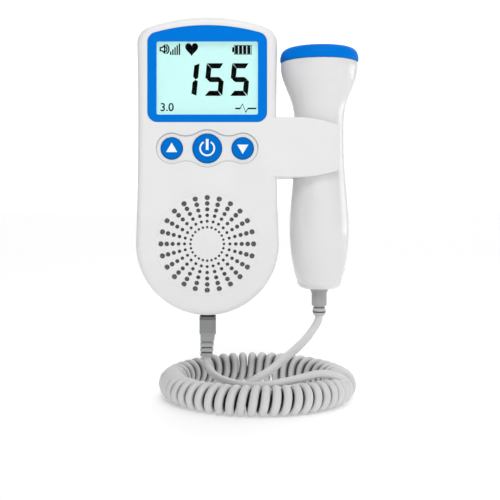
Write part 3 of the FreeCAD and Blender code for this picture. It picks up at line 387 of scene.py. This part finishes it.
def shade_by(material, shade):
    """Multiplies a material's colour by what a socket gives."""
    nodes = material.node_tree.nodes
    links = material.node_tree.links
    shader = nodes["Principled BSDF"]
    colour = shader.inputs["Base Color"].links[0].from_socket
    mixer = nodes.new("ShaderNodeMix")
    mixer.data_type = "RGBA"
    mixer.blend_type = "MULTIPLY"
    mixer.inputs["Factor"].default_value = 1.0
    links.new(colour, mixer.inputs["A"])
    links.new(shade, mixer.inputs["B"])
    links.new(mixer.outputs["Result"], shader.inputs["Base Color"])


def banded(material, heights, shades):
    """Multiplies the colour by a shade for each band of height, from the lowest up."""
    nodes = material.node_tree.nodes
    links = material.node_tree.links
    place = nodes.new("ShaderNodeTexCoord")
    split = nodes.new("ShaderNodeSeparateXYZ")
    level = nodes.new("ShaderNodeMapRange")
    level.inputs["From Min"].default_value = heights[0]
    level.inputs["From Max"].default_value = heights[-1]
    ramp = nodes.new("ShaderNodeValToRGB")
    ramp.color_ramp.interpolation = "CONSTANT"
    span = heights[-1] - heights[0]
    for index, shade in enumerate(shades):
        share = (heights[index] - heights[0]) / span
        if index < 2:
            stop = ramp.color_ramp.elements[index]
            stop.position = share
        else:
            stop = ramp.color_ramp.elements.new(share)
        stop.color = (shade, shade, shade, 1)
    links.new(place.outputs["Object"], split.inputs[0])
    links.new(split.outputs["Z"], level.inputs["Value"])
    links.new(level.outputs["Result"], ramp.inputs["Fac"])
    shade_by(material, ramp.outputs["Color"])


def metal(name, colour, gloss, stretch=(1, 1, 1)):
    """Metal with a drawn or rolled finish."""
    material, shader, place = new_material(name)
    links = material.node_tree.links
    shader.inputs["Metallic"].default_value = 1.0
    lines = noise(material, place, 900.0, 4.0, stretch)
    links.new(tint(material, lines.outputs["Fac"], colour, 0.12), shader.inputs["Base Color"])
    links.new(spread(material, lines.outputs["Fac"], gloss * 0.7, gloss * 1.3),
              shader.inputs["Roughness"])
    return material


def lit_display(name, colour):
    """The display's glass, evenly lit from behind."""
    material, shader, place = new_material(name)
    links = material.node_tree.links
    glow = noise(material, place, 30.0, 1.0)
    links.new(tint(material, glow.outputs["Fac"], colour, 0.012),
              shader.inputs["Emission Color"])
    unlit = [part * DISPLAY_UNLIT for part in colour]
    links.new(tint(material, glow.outputs["Fac"], unlit, 0.012), shader.inputs["Base Color"])
    shader.inputs["Emission Strength"].default_value = DISPLAY_GLOW
    shader.inputs["Roughness"].default_value = 0.35
    return material


def window_glass(name):
    """The clear window over the display."""
    material, shader, place = new_material(name)
    shader.inputs["Base Color"].default_value = (1, 1, 1, 1)
    shader.inputs["Transmission Weight"].default_value = 1.0
    shader.inputs["IOR"].default_value = 1.07
    smear = noise(material, place, 60.0, 2.0)
    material.node_tree.links.new(spread(material, smear.outputs["Fac"], 0.0, 0.02),
                                 shader.inputs["Roughness"])
    return material


def woven(name, colour):
    """Close cloth: two crossed sets of threads."""
    material, shader, place = new_material(name)
    nodes = material.node_tree.nodes
    links = material.node_tree.links
    heights = []
    for direction in ("X", "Z"):
        threads = nodes.new("ShaderNodeTexWave")
        threads.bands_direction = direction
        threads.inputs["Scale"].default_value = 700.0
        threads.inputs["Distortion"].default_value = 0.6
        links.new(place.outputs["Object"], threads.inputs["Vector"])
        heights.append(threads.outputs["Fac"])
    cross = nodes.new("ShaderNodeMath")
    cross.operation = "MULTIPLY"
    links.new(heights[0], cross.inputs[0])
    links.new(heights[1], cross.inputs[1])
    links.new(tint(material, cross.outputs[0], colour, 0.5), shader.inputs["Base Color"])
    bump(material, shader, cross.outputs[0], 0.00008)
    shader.inputs["Roughness"].default_value = 0.9
    return material


# ------------------------------------------------------------------ making pieces
def add_piece(name, mesh, material, body):
    """Puts a finished mesh into the scene, at the origin, riding on a body."""
    piece = bpy.data.objects.new(name, mesh)
    bpy.context.scene.collection.objects.link(piece)
    mesh.materials.append(material)
    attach(piece, body)
    return piece


def body_of(node):
    """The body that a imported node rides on."""
    return frame["nodes"][node]["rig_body"]


def smooth_by_angle(bm, angle):
    """Marks faces smooth and edges sharper than angle sharp."""
    for face in bm.faces:
        face.smooth = True
    for edge in bm.edges:
        if edge.is_manifold:
            edge.smooth = edge.calc_face_angle(0.0) < angle
        else:
            edge.smooth = False


def smooth_node(node, material, shape=None):
    """A merged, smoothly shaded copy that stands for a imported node, shaped a little if asked."""
    sizes = bpy.context.scene.doppler.sizes
    source = frame["nodes"][node]
    bm = bmesh.new()
    bm.from_mesh(source.data)
    bmesh.ops.remove_doubles(bm, verts=bm.verts, dist=2e-7)
    bmesh.ops.dissolve_degenerate(bm, edges=bm.edges, dist=1e-8)
    if shape:
        shape(bm)
    smooth_by_angle(bm, sizes.smooth_angle)
    mesh = bpy.data.meshes.new(node + "_skin")
    bm.to_mesh(mesh)
    bm.free()
    piece = add_piece(node + "_skin", mesh, material, body_of(node))
    weights = piece.modifiers.new("even shading", "WEIGHTED_NORMAL")
    weights.keep_sharp = True
    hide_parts(node)
    return piece


def paint_node(node, material):
    """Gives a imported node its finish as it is."""
    data = frame["nodes"][node].data
    data.materials.clear()
    data.materials.append(material)


def slab(bm, points, y, thickness):
    """A flat shape through (x, z) points in millimetres, its face at y and its body behind."""
    verts = [bm.verts.new((x * MM, y, z * MM)) for x, z in points]
    face = bm.faces.new(verts)
    made = bmesh.ops.extrude_face_region(bm, geom=[face])
    moved = [item for item in made["geom"] if isinstance(item, bmesh.types.BMVert)]
    bmesh.ops.translate(bm, verts=moved, vec=(0, thickness, 0))


def bar(bm, x0, x1, z0, z1, y, thickness):
    """An upright rectangle between two corners, in millimetres."""
    slab(bm, [(x0, z0), (x1, z0), (x1, z1), (x0, z1)], y, thickness)


def arc_bar(bm, centre, radius, width, start, sweep, steps, y, thickness):
    """A curved stroke about centre, in millimetres and degrees from the upright."""
    corners = []
    for reach in (radius - width / 2, radius + width / 2):
        for depth in (0, thickness):
            corners.append(bm.verts.new((0, depth, reach * MM)))
    face = bm.faces.new([corners[0], corners[1], corners[3], corners[2]])
    about = Vector((0, 0, 0))
    geom = [face] + list(face.edges) + list(face.verts)
    bmesh.ops.rotate(bm, verts=face.verts, cent=about,
                     matrix=Matrix.Rotation(math.radians(start), 3, "Y"))
    before = set(bm.verts) - set(corners)
    bmesh.ops.spin(bm, geom=geom, cent=about, axis=AXIS_Y, angle=math.radians(sweep),
                   steps=steps, use_merge=False)
    moved = [vert for vert in bm.verts if vert not in before]
    bmesh.ops.translate(bm, verts=moved, vec=(centre[0] * MM, y, centre[1] * MM))


def close_mesh(bm, name):
    """Merges doubles, turns the faces outwards and makes the mesh."""
    bmesh.ops.remove_doubles(bm, verts=bm.verts, dist=1e-7)
    bmesh.ops.recalc_face_normals(bm, faces=bm.faces)
    mesh = bpy.data.meshes.new(name)
    bm.to_mesh(mesh)
    bm.free()
    return mesh


# ------------------------------------------------------------------ the display's marks
def level_bar(name, width, height, line, gap):
    """The top (a), middle (g) or lowest (d) bar of a seven-bar figure."""
    short = line / 2
    if name == "g":
        z = height / 2
        return [(gap + short / 2, z), (line, z - short), (width - line, z - short),
                (width - gap - short / 2, z), (width - line, z + short), (line, z + short)]
    outer, inner = (height, height - line) if name == "a" else (0, line)
    left_trim, right_trim = LEVEL_TRIMS[name]
    return [(gap + left_trim, outer), (width - gap - right_trim, outer),
            (width - line, inner), (line, inner)]


def upright_bar(name, width, height, line, gap, cut):
    """An upright bar of a seven-bar figure: b and c on the right, e and f on the left."""
    half = height / 2
    short = line / 2
    outer, inner = (0, line) if name in "ef" else (width, width - line)
    if name in "ce":
        low = gap / 2
        high = half - gap / 2
        return [(outer, low), (inner, low + cut), (inner, high - short),
                ((outer + inner) / 2, high), (outer, high - short / 2)]
    low = half + gap / 2
    high = height - gap / 2
    return [(outer, high), (inner, high - cut), (inner, low + short),
            ((outer + inner) / 2, low), (outer, low + short / 2)]


def large_figure(bm, figure, x, z, y, thickness):
    """A leaning seven-bar figure with its lower left corner at (x, z)."""
    size = (FIGURE_WIDTH, FIGURE_HEIGHT, FIGURE_LINE, FIGURE_GAP)
    cut = ONE_CUT * FIGURE_LINE if figure == "1" else FIGURE_LINE
    for name in FIGURE_BARS[figure]:
        if name in "agd":
            points = level_bar(name, *size)
        else:
            points = upright_bar(name, *size, cut)
        slab(bm, [(x + px + FIGURE_LEAN * pz, z + pz) for px, pz in points], y, thickness)


def heart_points(x, z, width, height, count=28):
    """The outline of a heart with its middle at (x, z)."""
    points = []
    for step in range(count):
        t = 2 * math.pi * step / count
        across = math.sin(t) ** 3
        up = (13 * math.cos(t) - 5 * math.cos(2 * t) - 2 * math.cos(3 * t)
              - math.cos(4 * t) + 2.5) / 14.5
        points.append((x + width / 2 * across, z + height / 2 * up))
    return points


def speaker_mark(bm, x, z, y, thickness):
    """An outlined horn with its left end at (x, z) and two sound arcs."""
    for step in range(len(SPEAKER_OUTER)):
        following = (step + 1) % len(SPEAKER_OUTER)
        stroke = [SPEAKER_OUTER[step], SPEAKER_OUTER[following],
                  SPEAKER_INNER[following], SPEAKER_INNER[step]]
        slab(bm, [(x + px, z + pz) for px, pz in stroke], y, thickness)
    for radius, sweep in SOUND_ARCS:
        arc_bar(bm, (x + SOUND_MIDDLE, z), radius, SOUND_LINE, 90 - sweep / 2, sweep, 8,
                y, thickness)


def battery_mark(bm, x, z, y, thickness):
    """A cell's outline with four charge bars, its lower left corner at (x, z)."""
    line = BATTERY_LINE
    top = z + BATTERY_HEIGHT
    left, right, foot, head = BATTERY_KNOB
    bar(bm, x + left, x + right, z + foot, z + head, y, thickness)
    for low in (z, top - line):
        bar(bm, x, x + BATTERY_WIDTH, low, low + line, y, thickness)
    for left in (x, x + BATTERY_WIDTH - line):
        bar(bm, left, left + line, z + line, top - line, y, thickness)
    for step in range(4):
        left = x + CHARGE_LEFT + CHARGE_PITCH * step
        bar(bm, left, left + CHARGE_WIDTH, z + CHARGE_MARGIN, top - CHARGE_MARGIN, y, thickness)


def display_marks(y, thickness):
    """Figures, heart, speaker, level bars and battery mark on the display."""
    bm = bmesh.new()
    for figure, x in FIGURES:
        large_figure(bm, figure, x, FIGURE_FOOT, y, thickness)
    slab(bm, heart_points(*HEART), y, thickness)
    speaker_mark(bm, *SPEAKER_PLACE, y, thickness)
    for step, top in enumerate(BARS_TOPS):
        x = BARS_LEFT + BARS_PITCH * step
        bar(bm, x, x + BARS_WIDTH, BARS_FOOT, top, y, thickness)
    battery_mark(bm, *BATTERY_PLACE, y, thickness)
    return close_mesh(bm, "display_marks")


def text_mesh(words, size, x, z, y, thickness):
    """Plain printed figures standing upright at (x, z), in millimetres."""
    curve = bpy.data.curves.new("figures", "FONT")
    curve.body = words
    curve.size = size * MM
    curve.extrude = thickness / 2
    curve.offset = SMALL_WEIGHT
    holder = bpy.data.objects.new("figures", curve)
    bpy.context.scene.collection.objects.link(holder)
    bpy.context.view_layer.update()
    graph = bpy.context.evaluated_depsgraph_get()
    mesh = bpy.data.meshes.new_from_object(holder.evaluated_get(graph))
    bpy.data.objects.remove(holder)
    mesh.transform(Matrix.Translation((x * MM, y, z * MM)) @ Matrix.Rotation(math.pi / 2, 4, "X"))
    return mesh


def pulse_mark(y, thickness):
    """A small heartbeat line: one slim slab along its path."""
    bm = bmesh.new()
    upper = [(x, z + PULSE_HALF) for x, z in PULSE]
    lower = [(x, z - PULSE_HALF) for x, z in PULSE]
    slab(bm, upper + lower[::-1], y, thickness)
    return close_mesh(bm, "pulse_mark")


# ------------------------------------------------------------------ the cord
def spline_points(name, points, thickness, resolution):
    """Reads the smooth line and tube of a quadratic spline with these control points."""
    curve = bpy.data.curves.new(name, "CURVE")
    curve.dimensions = "3D"
    curve.resolution_u = resolution
    spline = curve.splines.new("NURBS")
    spline.points.add(len(points) - 1)
    for place, point, share in zip(spline.points, points, thickness):
        place.co = (*point, 1.0)
        place.radius = share
    spline.order_u = 3
    spline.use_endpoint_u = True
    holder = bpy.data.objects.new(name, curve)
    bpy.context.scene.collection.objects.link(holder)
    bpy.context.view_layer.update()
    graph = bpy.context.evaluated_depsgraph_get()
    line = bpy.data.meshes.new_from_object(holder.evaluated_get(graph))
    path = [vert.co.copy() for vert in line.vertices]
    curve.bevel_depth = bpy.context.scene.doppler.sizes.cord_radius
    curve.bevel_resolution = 3
    curve.use_fill_caps = True
    bpy.context.view_layer.update()
    graph = bpy.context.evaluated_depsgraph_get()
    tube = bpy.data.meshes.new_from_object(holder.evaluated_get(graph))
    bpy.data.objects.remove(holder)
    return path, tube


def turn_shape(angle):
    """Where a turn's middle lies at an angle from the front, its outward way and its radius."""
    sizes = bpy.context.scene.doppler.sizes
    back = max(0.0, -math.cos(angle)) ** 2
    swell = sizes.back_swell * back
    outward = Vector((math.sin(angle), -math.cos(angle), 0))
    ring = sizes.ring_radius - sizes.back_nearer * back
    middle = CURLY_CENTRE + outward * ring + Vector((0, 0, swell))
    return middle, outward, sizes.helix_radius + swell


def curly_points():
    """Control points of the curly part: a left-handed helix round its ring."""
    sizes = bpy.context.scene.doppler.sizes
    first_lift = math.radians(CURLY_LIFT)
    count = sizes.points_per_turn
    turns = sizes.turns + (first_lift + math.pi / 2) / (2 * math.pi)
    steps = round(turns * count)
    shares = []
    for step in range(steps):
        angle = math.radians(CURLY_START - CURLY_SWEEP * step / steps)
        shares.append(1 + sizes.back_spread * (1 - math.cos(angle)) / 2)
    points = []
    angle = CURLY_START
    for step, share in enumerate(shares + [0]):
        lift = first_lift - 2 * math.pi * step / count
        middle, outward, radius = turn_shape(math.radians(angle))
        reach = radius / math.cos(math.pi / count)
        points.append(middle + outward * reach * math.cos(lift)
                      + Vector((0, 0, reach * math.sin(lift))))
        angle -= CURLY_SWEEP * share / sum(shares)
    return points


def mark_folds(mesh):
    """Stores how open each point lies, for the painted shade in the folds: 0 inside the turns, 1
    outside, less within the ring.
    """
    sizes = bpy.context.scene.doppler.sizes
    opening = mesh.attributes.new("opening", "FLOAT", "POINT")
    for vert, value in zip(mesh.vertices, opening.data):
        reach = vert.co - CURLY_CENTRE
        angle = math.atan2(reach.x, -reach.y)
        middle, outward, radius = turn_shape(angle)
        inside = radius - sizes.cord_radius
        inward = max(0.0, -(vert.co - middle).dot(outward) / radius)
        share = ((vert.co - middle).length - inside) / (2 * sizes.cord_radius)
        share -= RING_PAINTED_SHADE * min(inward, 1.0)
        past_end = abs(math.degrees(angle) - CURLY_END)
        fade = END_PAINTED_SHADE + (1 - END_PAINTED_SHADE) * min(1.0, past_end / END_FADE)
        value.value = 1 - (1 - min(share, 1.0)) * fade


def paint_fold_shade(material):
    """Paints shade on the jacket where it faces the inside of the turns."""
    nodes = material.node_tree.nodes
    opening = nodes.new("ShaderNodeAttribute")
    opening.attribute_name = "opening"
    fade = nodes.new("ShaderNodeMapRange")
    fade.interpolation_type = "SMOOTHSTEP"
    for socket, value in FOLD_PAINTED_SHADE.items():
        fade.inputs[socket].default_value = value
    material.node_tree.links.new(opening.outputs["Fac"], fade.inputs["Value"])
    shade_by(material, fade.outputs["Result"])


def raised_boot(height, foot, top):
    """Height to which a point of the plug moves when its boot is drawn a little longer."""
    if height < foot + BOOT_HEIGHT:
        return height + BOOT_STRETCH * (height - foot)
    left = (top - height) / (top - foot - BOOT_HEIGHT)
    return height + BOOT_STRETCH * BOOT_HEIGHT * left


def raise_boot(bm):
    """Draws the plug's boot a little longer and its grip as much shorter."""
    foot, top = [corner.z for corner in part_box("cord_plug")]
    for vert in bm.verts:
        vert.co.z = raised_boot(vert.co.z, foot, top)


def plug_vinyl(colour):
    """The plug's rubber, with painted shade in the grooves of its boot."""
    foot, top = [corner.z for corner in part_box("cord_plug")]
    vinyl = rubbery("plug rubber", colour)
    rims = [raised_boot(foot + height, foot, top) for height in PLUG_RIMS]
    banded(vinyl, [foot - BAND_MARGIN] + rims + [top - PLUG_GRIP, top + BAND_MARGIN],
           PLUG_PAINTED_SHADES)
    return vinyl


class DOPPLER_OT_cord(bpy.types.Operator):
    """Lays the cord from the plug through its curly part to the probe"""
    bl_idname = "doppler.cord"
    bl_label = "Cord"

    def execute(self, context):
        colours = context.scene.doppler.colours
        sizes = context.scene.doppler.sizes
        jacket = rubbery("cord jacket", colours.cord_grey, 0.42, 0.000012)
        end = Vector(TAIL_ROUTE[-1]) + Vector((0, 0, GLAND_SINK))
        curly = curly_points()
        route = [Vector(point) for point in LEAD_ROUTE[:-1]] + curly
        route += [Vector(point) for point in TAIL_ROUTE[1:-1]] + [end]
        thickness = [1.0] * (len(LEAD_ROUTE) - 1) + [sizes.curly_thickness] * len(curly)
        thickness += [1.0] * (len(TAIL_ROUTE) - 1)
        path, tube = spline_points("cord_line", route, thickness, 3)
        for polygon in tube.polygons:
            polygon.use_smooth = True
        tube.name = "cord"
        # the curly part's folds get painted shade, darkest inside the turns
        mark_folds(tube)
        paint_fold_shade(jacket)
        cord = bpy.data.objects.new("cord", tube)
        context.scene.collection.objects.link(cord)
        tube.materials.append(jacket)
        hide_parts("cord_lead", "cord_coil", "cord_tail")
        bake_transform(cord)
        plug = smooth_node("cord_plug", plug_vinyl(colours.plug_grey), shape=raise_boot)
        collar = smooth_node("plug_collar", moulded("collar plastic", colours.collar_grey, 0.4))
        nose = smooth_node("plug_nose", moulded("contact block", (0.02, 0.02, 0.02), 0.4))
        return {"FINISHED"}


# ------------------------------------------------------------------ the case
def soften_key_rim(bm):
    """Rounds the rim of the recess round the keys; its faces take painted shade, a dark line above
    and a softer shade below.
    """
    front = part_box("front_shell")[0].y
    rim = []
    for edge in bm.edges:
        ends = [vert.co for vert in edge.verts]
        near = all(abs(end.y - front) < RIM_LEVEL and abs(end.x) < RIM_REACH
                   and KEY_RIM[0] < end.z < KEY_RIM[1] for end in ends)
        if near and edge.is_manifold and edge.calc_face_angle(0.0) > math.radians(60):
            rim.append(edge)
    made = bmesh.ops.bevel(bm, geom=rim, offset=RIM_ROUND, segments=2, profile=0.5,
                           affect="EDGES", material=-1, clamp_overlap=False)
    level = sum(KEY_RIM) / 2
    for face in made["faces"]:
        face.material_index = 1 if face.calc_center_median().z > level else 2


def widen_cloth(bm):
    """Spreads the cloth to the edge of the opening behind the grille."""
    low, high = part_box("dust_cloth")
    middle = (low + high) / 2
    bmesh.ops.scale(bm, verts=bm.verts, vec=(CLOTH_SPREAD, 1, CLOTH_SPREAD),
                    space=Matrix.Translation(-middle))


class DOPPLER_OT_case(bpy.types.Operator):
    """Finishes the shells, grille, battery door, screws and headphone socket"""
    bl_idname = "doppler.case"
    bl_label = "Case"

    def execute(self, context):
        colours = context.scene.doppler.colours
        white = moulded("case plastic", colours.case_white, CASE_GLOSS, CASE_GRAIN)
        front = smooth_node("front_shell", white, shape=soften_key_rim)
        # the rim's rounded faces get painted shade, darker on the upper rim
        for name, share in RIM_PAINTED_SHADES:
            colour = [part * share for part in colours.case_white]
            front.data.materials.append(moulded(name, colour, CASE_GLOSS, CASE_GRAIN))
        for node in ("rear_shell", "speaker_grille", "battery_door"):
            smooth_node(node, white)
        smooth_node("dust_cloth", woven("speaker cloth", (0.3, 0.3, 0.3)), shape=widen_cloth)
        smooth_node("case_screws", metal("screw steel", (0.5, 0.5, 0.51), 0.35))
        smooth_node("headphone_socket", moulded("socket plastic", (0.03, 0.03, 0.03), 0.35))
        return {"FINISHED"}


class DOPPLER_OT_screen(bpy.types.Operator):
    """Finishes the surround, window and display, and draws the display's marks"""
    bl_idname = "doppler.screen"
    bl_label = "Screen"

    def execute(self, context):
        colours = context.scene.doppler.colours
        sizes = context.scene.doppler.sizes
        smooth_node("screen_bezel", moulded("surround blue", colours.trim_blue, 0.3,
                                            shine=BLUE_SHINE))
        smooth_node("screen_lens", window_glass("window"))
        smooth_node("lcd_panel", lit_display("lit display", colours.display_mint))
        ink = moulded("display ink", colours.ink, 0.7, shine=0.05)
        thickness = sizes.mark_thickness
        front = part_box("lcd_panel")[0].y - thickness
        meshes = [("display_marks", display_marks(front, thickness)),
                  ("small_figures", text_mesh(*SMALL_FIGURES, front, thickness)),
                  ("pulse_mark", pulse_mark(front, thickness))]
        for name, mesh in meshes:
            add_piece(name, mesh, ink, "case")
        return {"FINISHED"}


def arrow(bm, x, z, heights, y, thickness):
    """A triangle whose base and tip lie at these heights above (x, z)."""
    base, tip = heights
    slab(bm, [(x - ARROW_HALF, z + base), (x + ARROW_HALF, z + base), (x, z + tip)],
         y, thickness)


def power_symbol(bm, x, z, y, thickness):
    """An open ring with an upright bar in its gap, its middle at (x, z)."""
    radius, stroke, start, sweep = POWER_RING
    arc_bar(bm, (x, z), radius, stroke, start, sweep, 40, y, thickness)
    half, foot, top = POWER_BAR
    bar(bm, x - half, x + half, z + foot, z + top, y, thickness)


class DOPPLER_OT_keys(bpy.types.Operator):
    """Finishes the three keys and prints their symbols"""
    bl_idname = "doppler.keys"
    bl_label = "Keys"

    def execute(self, context):
        colours = context.scene.doppler.colours
        sizes = context.scene.doppler.sizes
        shade = [part * KEY_SHADE for part in colours.trim_blue]
        blue = moulded("key blue", shade, 0.28, shine=BLUE_SHINE)
        print_white = moulded("key print", (0.95, 0.97, 0.98), 0.4)
        thickness = sizes.symbol_thickness
        for node in ("up_button", "power_button", "down_button"):
            smooth_node(node, blue)
            low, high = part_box(node)
            x = (low.x + high.x) / 2 / MM
            z = (low.z + high.z) / 2 / MM
            y = low.y - thickness
            bm = bmesh.new()
            if node == "up_button":
                arrow(bm, x, z, UP_ARROW, y, thickness)
            elif node == "down_button":
                arrow(bm, x, z, DOWN_ARROW, y, thickness)
            else:
                power_symbol(bm, x, z, y, thickness)
            add_piece(node + "_symbol", close_mesh(bm, node + "_symbol"), print_white,
                      body_of(node))
        return {"FINISHED"}


class DOPPLER_OT_probe(bpy.types.Operator):
    """Finishes the probe's handle, cap and strain relief"""
    bl_idname = "doppler.probe"
    bl_label = "Probe"

    def execute(self, context):
        colours = context.scene.doppler.colours
        white = moulded("probe gloss", colours.probe_white, 0.12)
        for node in ("probe_front_half", "probe_rear_half"):
            smooth_node(node, white)
        smooth_node("probe_cap", moulded("cap blue", colours.trim_blue, 0.42, 0.000004,
                                         shine=BLUE_SHINE))
        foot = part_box("probe_gland")[0].z
        relief = rubbery("gland rubber", colours.gland_grey)
        rims = [foot + height for height in GLAND_RIMS]
        # the gland's rims get painted shade
        banded(relief, [foot - BAND_MARGIN] + rims, GLAND_PAINTED_SHADES)
        smooth_node("probe_gland", relief)
        return {"FINISHED"}


class DOPPLER_OT_inside(bpy.types.Operator):
    """Gives the pieces inside the case and the probe their finishes"""
    bl_idname = "doppler.inside"
    bl_label = "Inside"

    def execute(self, context):
        black = moulded("black plastic", (0.025, 0.025, 0.025), 0.45)
        board = moulded("board green", (0.02, 0.16, 0.06), 0.35, 0.00001, 0.1)
        steel = metal("pressed steel", (0.55, 0.55, 0.56), 0.35)
        can = metal("cell can", (0.55, 0.56, 0.6), 0.25, (1, 1, 0.05))
        finishes = {
            "speaker_basket": steel,
            "speaker_cone": rubbery("cone paper", (0.05, 0.05, 0.05), 0.8),
            "speaker_magnet": moulded("magnet", (0.12, 0.12, 0.12), 0.6),
            "backlight": moulded("light guide", (0.85, 0.88, 0.88), 0.3),
            "main_board": board,
            "probe_board": board,
            "board_parts": black,
            "tact_switches": black,
            "battery_left": can,
            "battery_right": can,
            "battery_contacts": metal("sprung steel", (0.72, 0.7, 0.64), 0.25),
            "cord_socket": black,
            "transducer_crystals": moulded("crystal", (0.45, 0.44, 0.4), 0.4, 0.00001, 0.1),
            "crystal_backing": black,
            "board_holder": black,
            "up_plunger": black,
            "power_plunger": black,
            "down_plunger": black,
        }
        for node, material in finishes.items():
            paint_node(node, material)
        return {"FINISHED"}


# ------------------------------------------------------------------ the stage
def sky_light(strength, front):
    """Light from in front and, stronger, from behind, with dark sides to the left and right."""
    world = bpy.data.worlds.new("studio")
    bpy.context.scene.world = world
    world.use_nodes = True
    nodes = world.node_tree.nodes
    links = world.node_tree.links
    ground = nodes["Background"]
    place = nodes.new("ShaderNodeTexCoord")
    split = nodes.new("ShaderNodeSeparateXYZ")
    across = nodes.new("ShaderNodeMapRange")
    across.inputs["From Min"].default_value = -1.0
    ramp = nodes.new("ShaderNodeValToRGB")
    stops = ramp.color_ramp.elements
    stops[0].position = LEFT_SKY_END
    stops[0].color = LEFT_SKY
    stops[1].position = RIGHT_SKY_END
    stops[1].color = RIGHT_SKY
    for position in FULL_SKY:
        stops.new(position).color = (1, 1, 1, 1)
    depth = nodes.new("ShaderNodeMapRange")
    depth.inputs["From Min"].default_value = -SKY_DEPTH
    depth.inputs["From Max"].default_value = SKY_DEPTH
    depth.inputs["To Min"].default_value = front * strength
    depth.inputs["To Max"].default_value = strength
    links.new(place.outputs["Generated"], split.inputs[0])
    links.new(split.outputs["X"], across.inputs["Value"])
    links.new(across.outputs["Result"], ramp.inputs["Fac"])
    links.new(ramp.outputs["Color"], ground.inputs["Color"])
    links.new(split.outputs["Y"], depth.inputs["Value"])
    links.new(depth.outputs["Result"], ground.inputs["Strength"])


def area_light(name, place, aim, power, width, height, spread_angle=180.0):
    """A rectangular soft light aimed at a point."""
    data = bpy.data.lights.new(name, "AREA")
    data.shape = "RECTANGLE"
    data.size = width
    data.size_y = height
    data.energy = power
    data.spread = math.radians(spread_angle)
    lamp = bpy.data.objects.new(name, data)
    bpy.context.scene.collection.objects.link(lamp)
    lamp.location = place
    lamp.rotation_euler = (Vector(aim) - Vector(place)).to_track_quat("-Z", "Y").to_euler()


def floor_white():
    """A pale matt sheet with a little light of its own."""
    material = moulded("floor white", (0.95, 0.95, 0.95), 0.8, 0.0, 0.002)
    shader = material.node_tree.nodes["Principled BSDF"]
    shader.inputs["Emission Color"].default_value = (1, 1, 1, 1)
    shader.inputs["Emission Strength"].default_value = 0.24
    return material


class DOPPLER_OT_stage(bpy.types.Operator):
    """Sets up the camera, the pale floor and the soft light"""
    bl_idname = "doppler.stage"
    bl_label = "Stage"

    def execute(self, context):
        stage = context.scene.doppler.stage
        context.scene.view_settings.view_transform = "Standard"
        data = bpy.data.cameras.new("camera")
        data.lens = stage.lens
        data.sensor_width = 36.0
        data.shift_x, data.shift_y = stage.camera_shift
        camera = bpy.data.objects.new("camera", data)
        context.scene.collection.objects.link(camera)
        camera.location = stage.camera_place
        camera.rotation_euler = (math.pi / 2, 0, 0)
        data.clip_start = 0.01
        context.scene.camera = camera
        bm = bmesh.new()
        bmesh.ops.create_grid(bm, x_segments=1, y_segments=1, size=stage.floor_size / 2)
        bmesh.ops.translate(bm, verts=bm.verts, vec=(0, 0, CAD_BOX[0].z))
        mesh = bpy.data.meshes.new("floor")
        bm.to_mesh(mesh)
        bm.free()
        floor = bpy.data.objects.new("floor", mesh)
        context.scene.collection.objects.link(floor)
        mesh.materials.append(floor_white())
        sky_light(stage.sky, stage.front_share)
        area_light("front softbox", place=(0.0, -0.5, 0.55), aim=(0.03, 0.0, 0.08),
                   power=stage.front_light, width=0.4, height=0.25, spread_angle=50.0)
        area_light("right strip", place=(0.75, 0.22, 0.06), aim=(0.05, 0.0, 0.05),
                   power=stage.side_light, width=0.42, height=0.2)
        return {"FINISHED"}


class DOPPLER_PT_panel(bpy.types.Panel):
    """Lists the pieces in the order in which they are made"""
    bl_label = "Fetal doppler monitor"
    bl_idname = "DOPPLER_PT_panel"
    bl_space_type = "VIEW_3D"
    bl_region_type = "UI"
    bl_category = "Doppler"

    def draw(self, context):
        for operator in OPERATORS:
            self.layout.operator(operator.bl_idname)


OPERATORS = (DOPPLER_OT_stage, DOPPLER_OT_cord, DOPPLER_OT_case, DOPPLER_OT_screen,
             DOPPLER_OT_keys, DOPPLER_OT_probe, DOPPLER_OT_inside)
CLASSES = (DopplerSizes, DopplerColours, DopplerStage, DopplerLooks) + OPERATORS + (
    DOPPLER_PT_panel,)


def register():
    for item in CLASSES:
        bpy.utils.register_class(item)
    bpy.types.Scene.doppler = bpy.props.PointerProperty(type=DopplerLooks)


def unregister():
    del bpy.types.Scene.doppler
    for item in reversed(CLASSES):
        bpy.utils.unregister_class(item)


def main():
    register()
    bpy.ops.doppler.stage()
    bpy.ops.doppler.cord()
    bpy.ops.doppler.case()
    bpy.ops.doppler.screen()
    bpy.ops.doppler.keys()
    bpy.ops.doppler.probe()
    bpy.ops.doppler.inside()


if __name__ == "__main__":
    main()
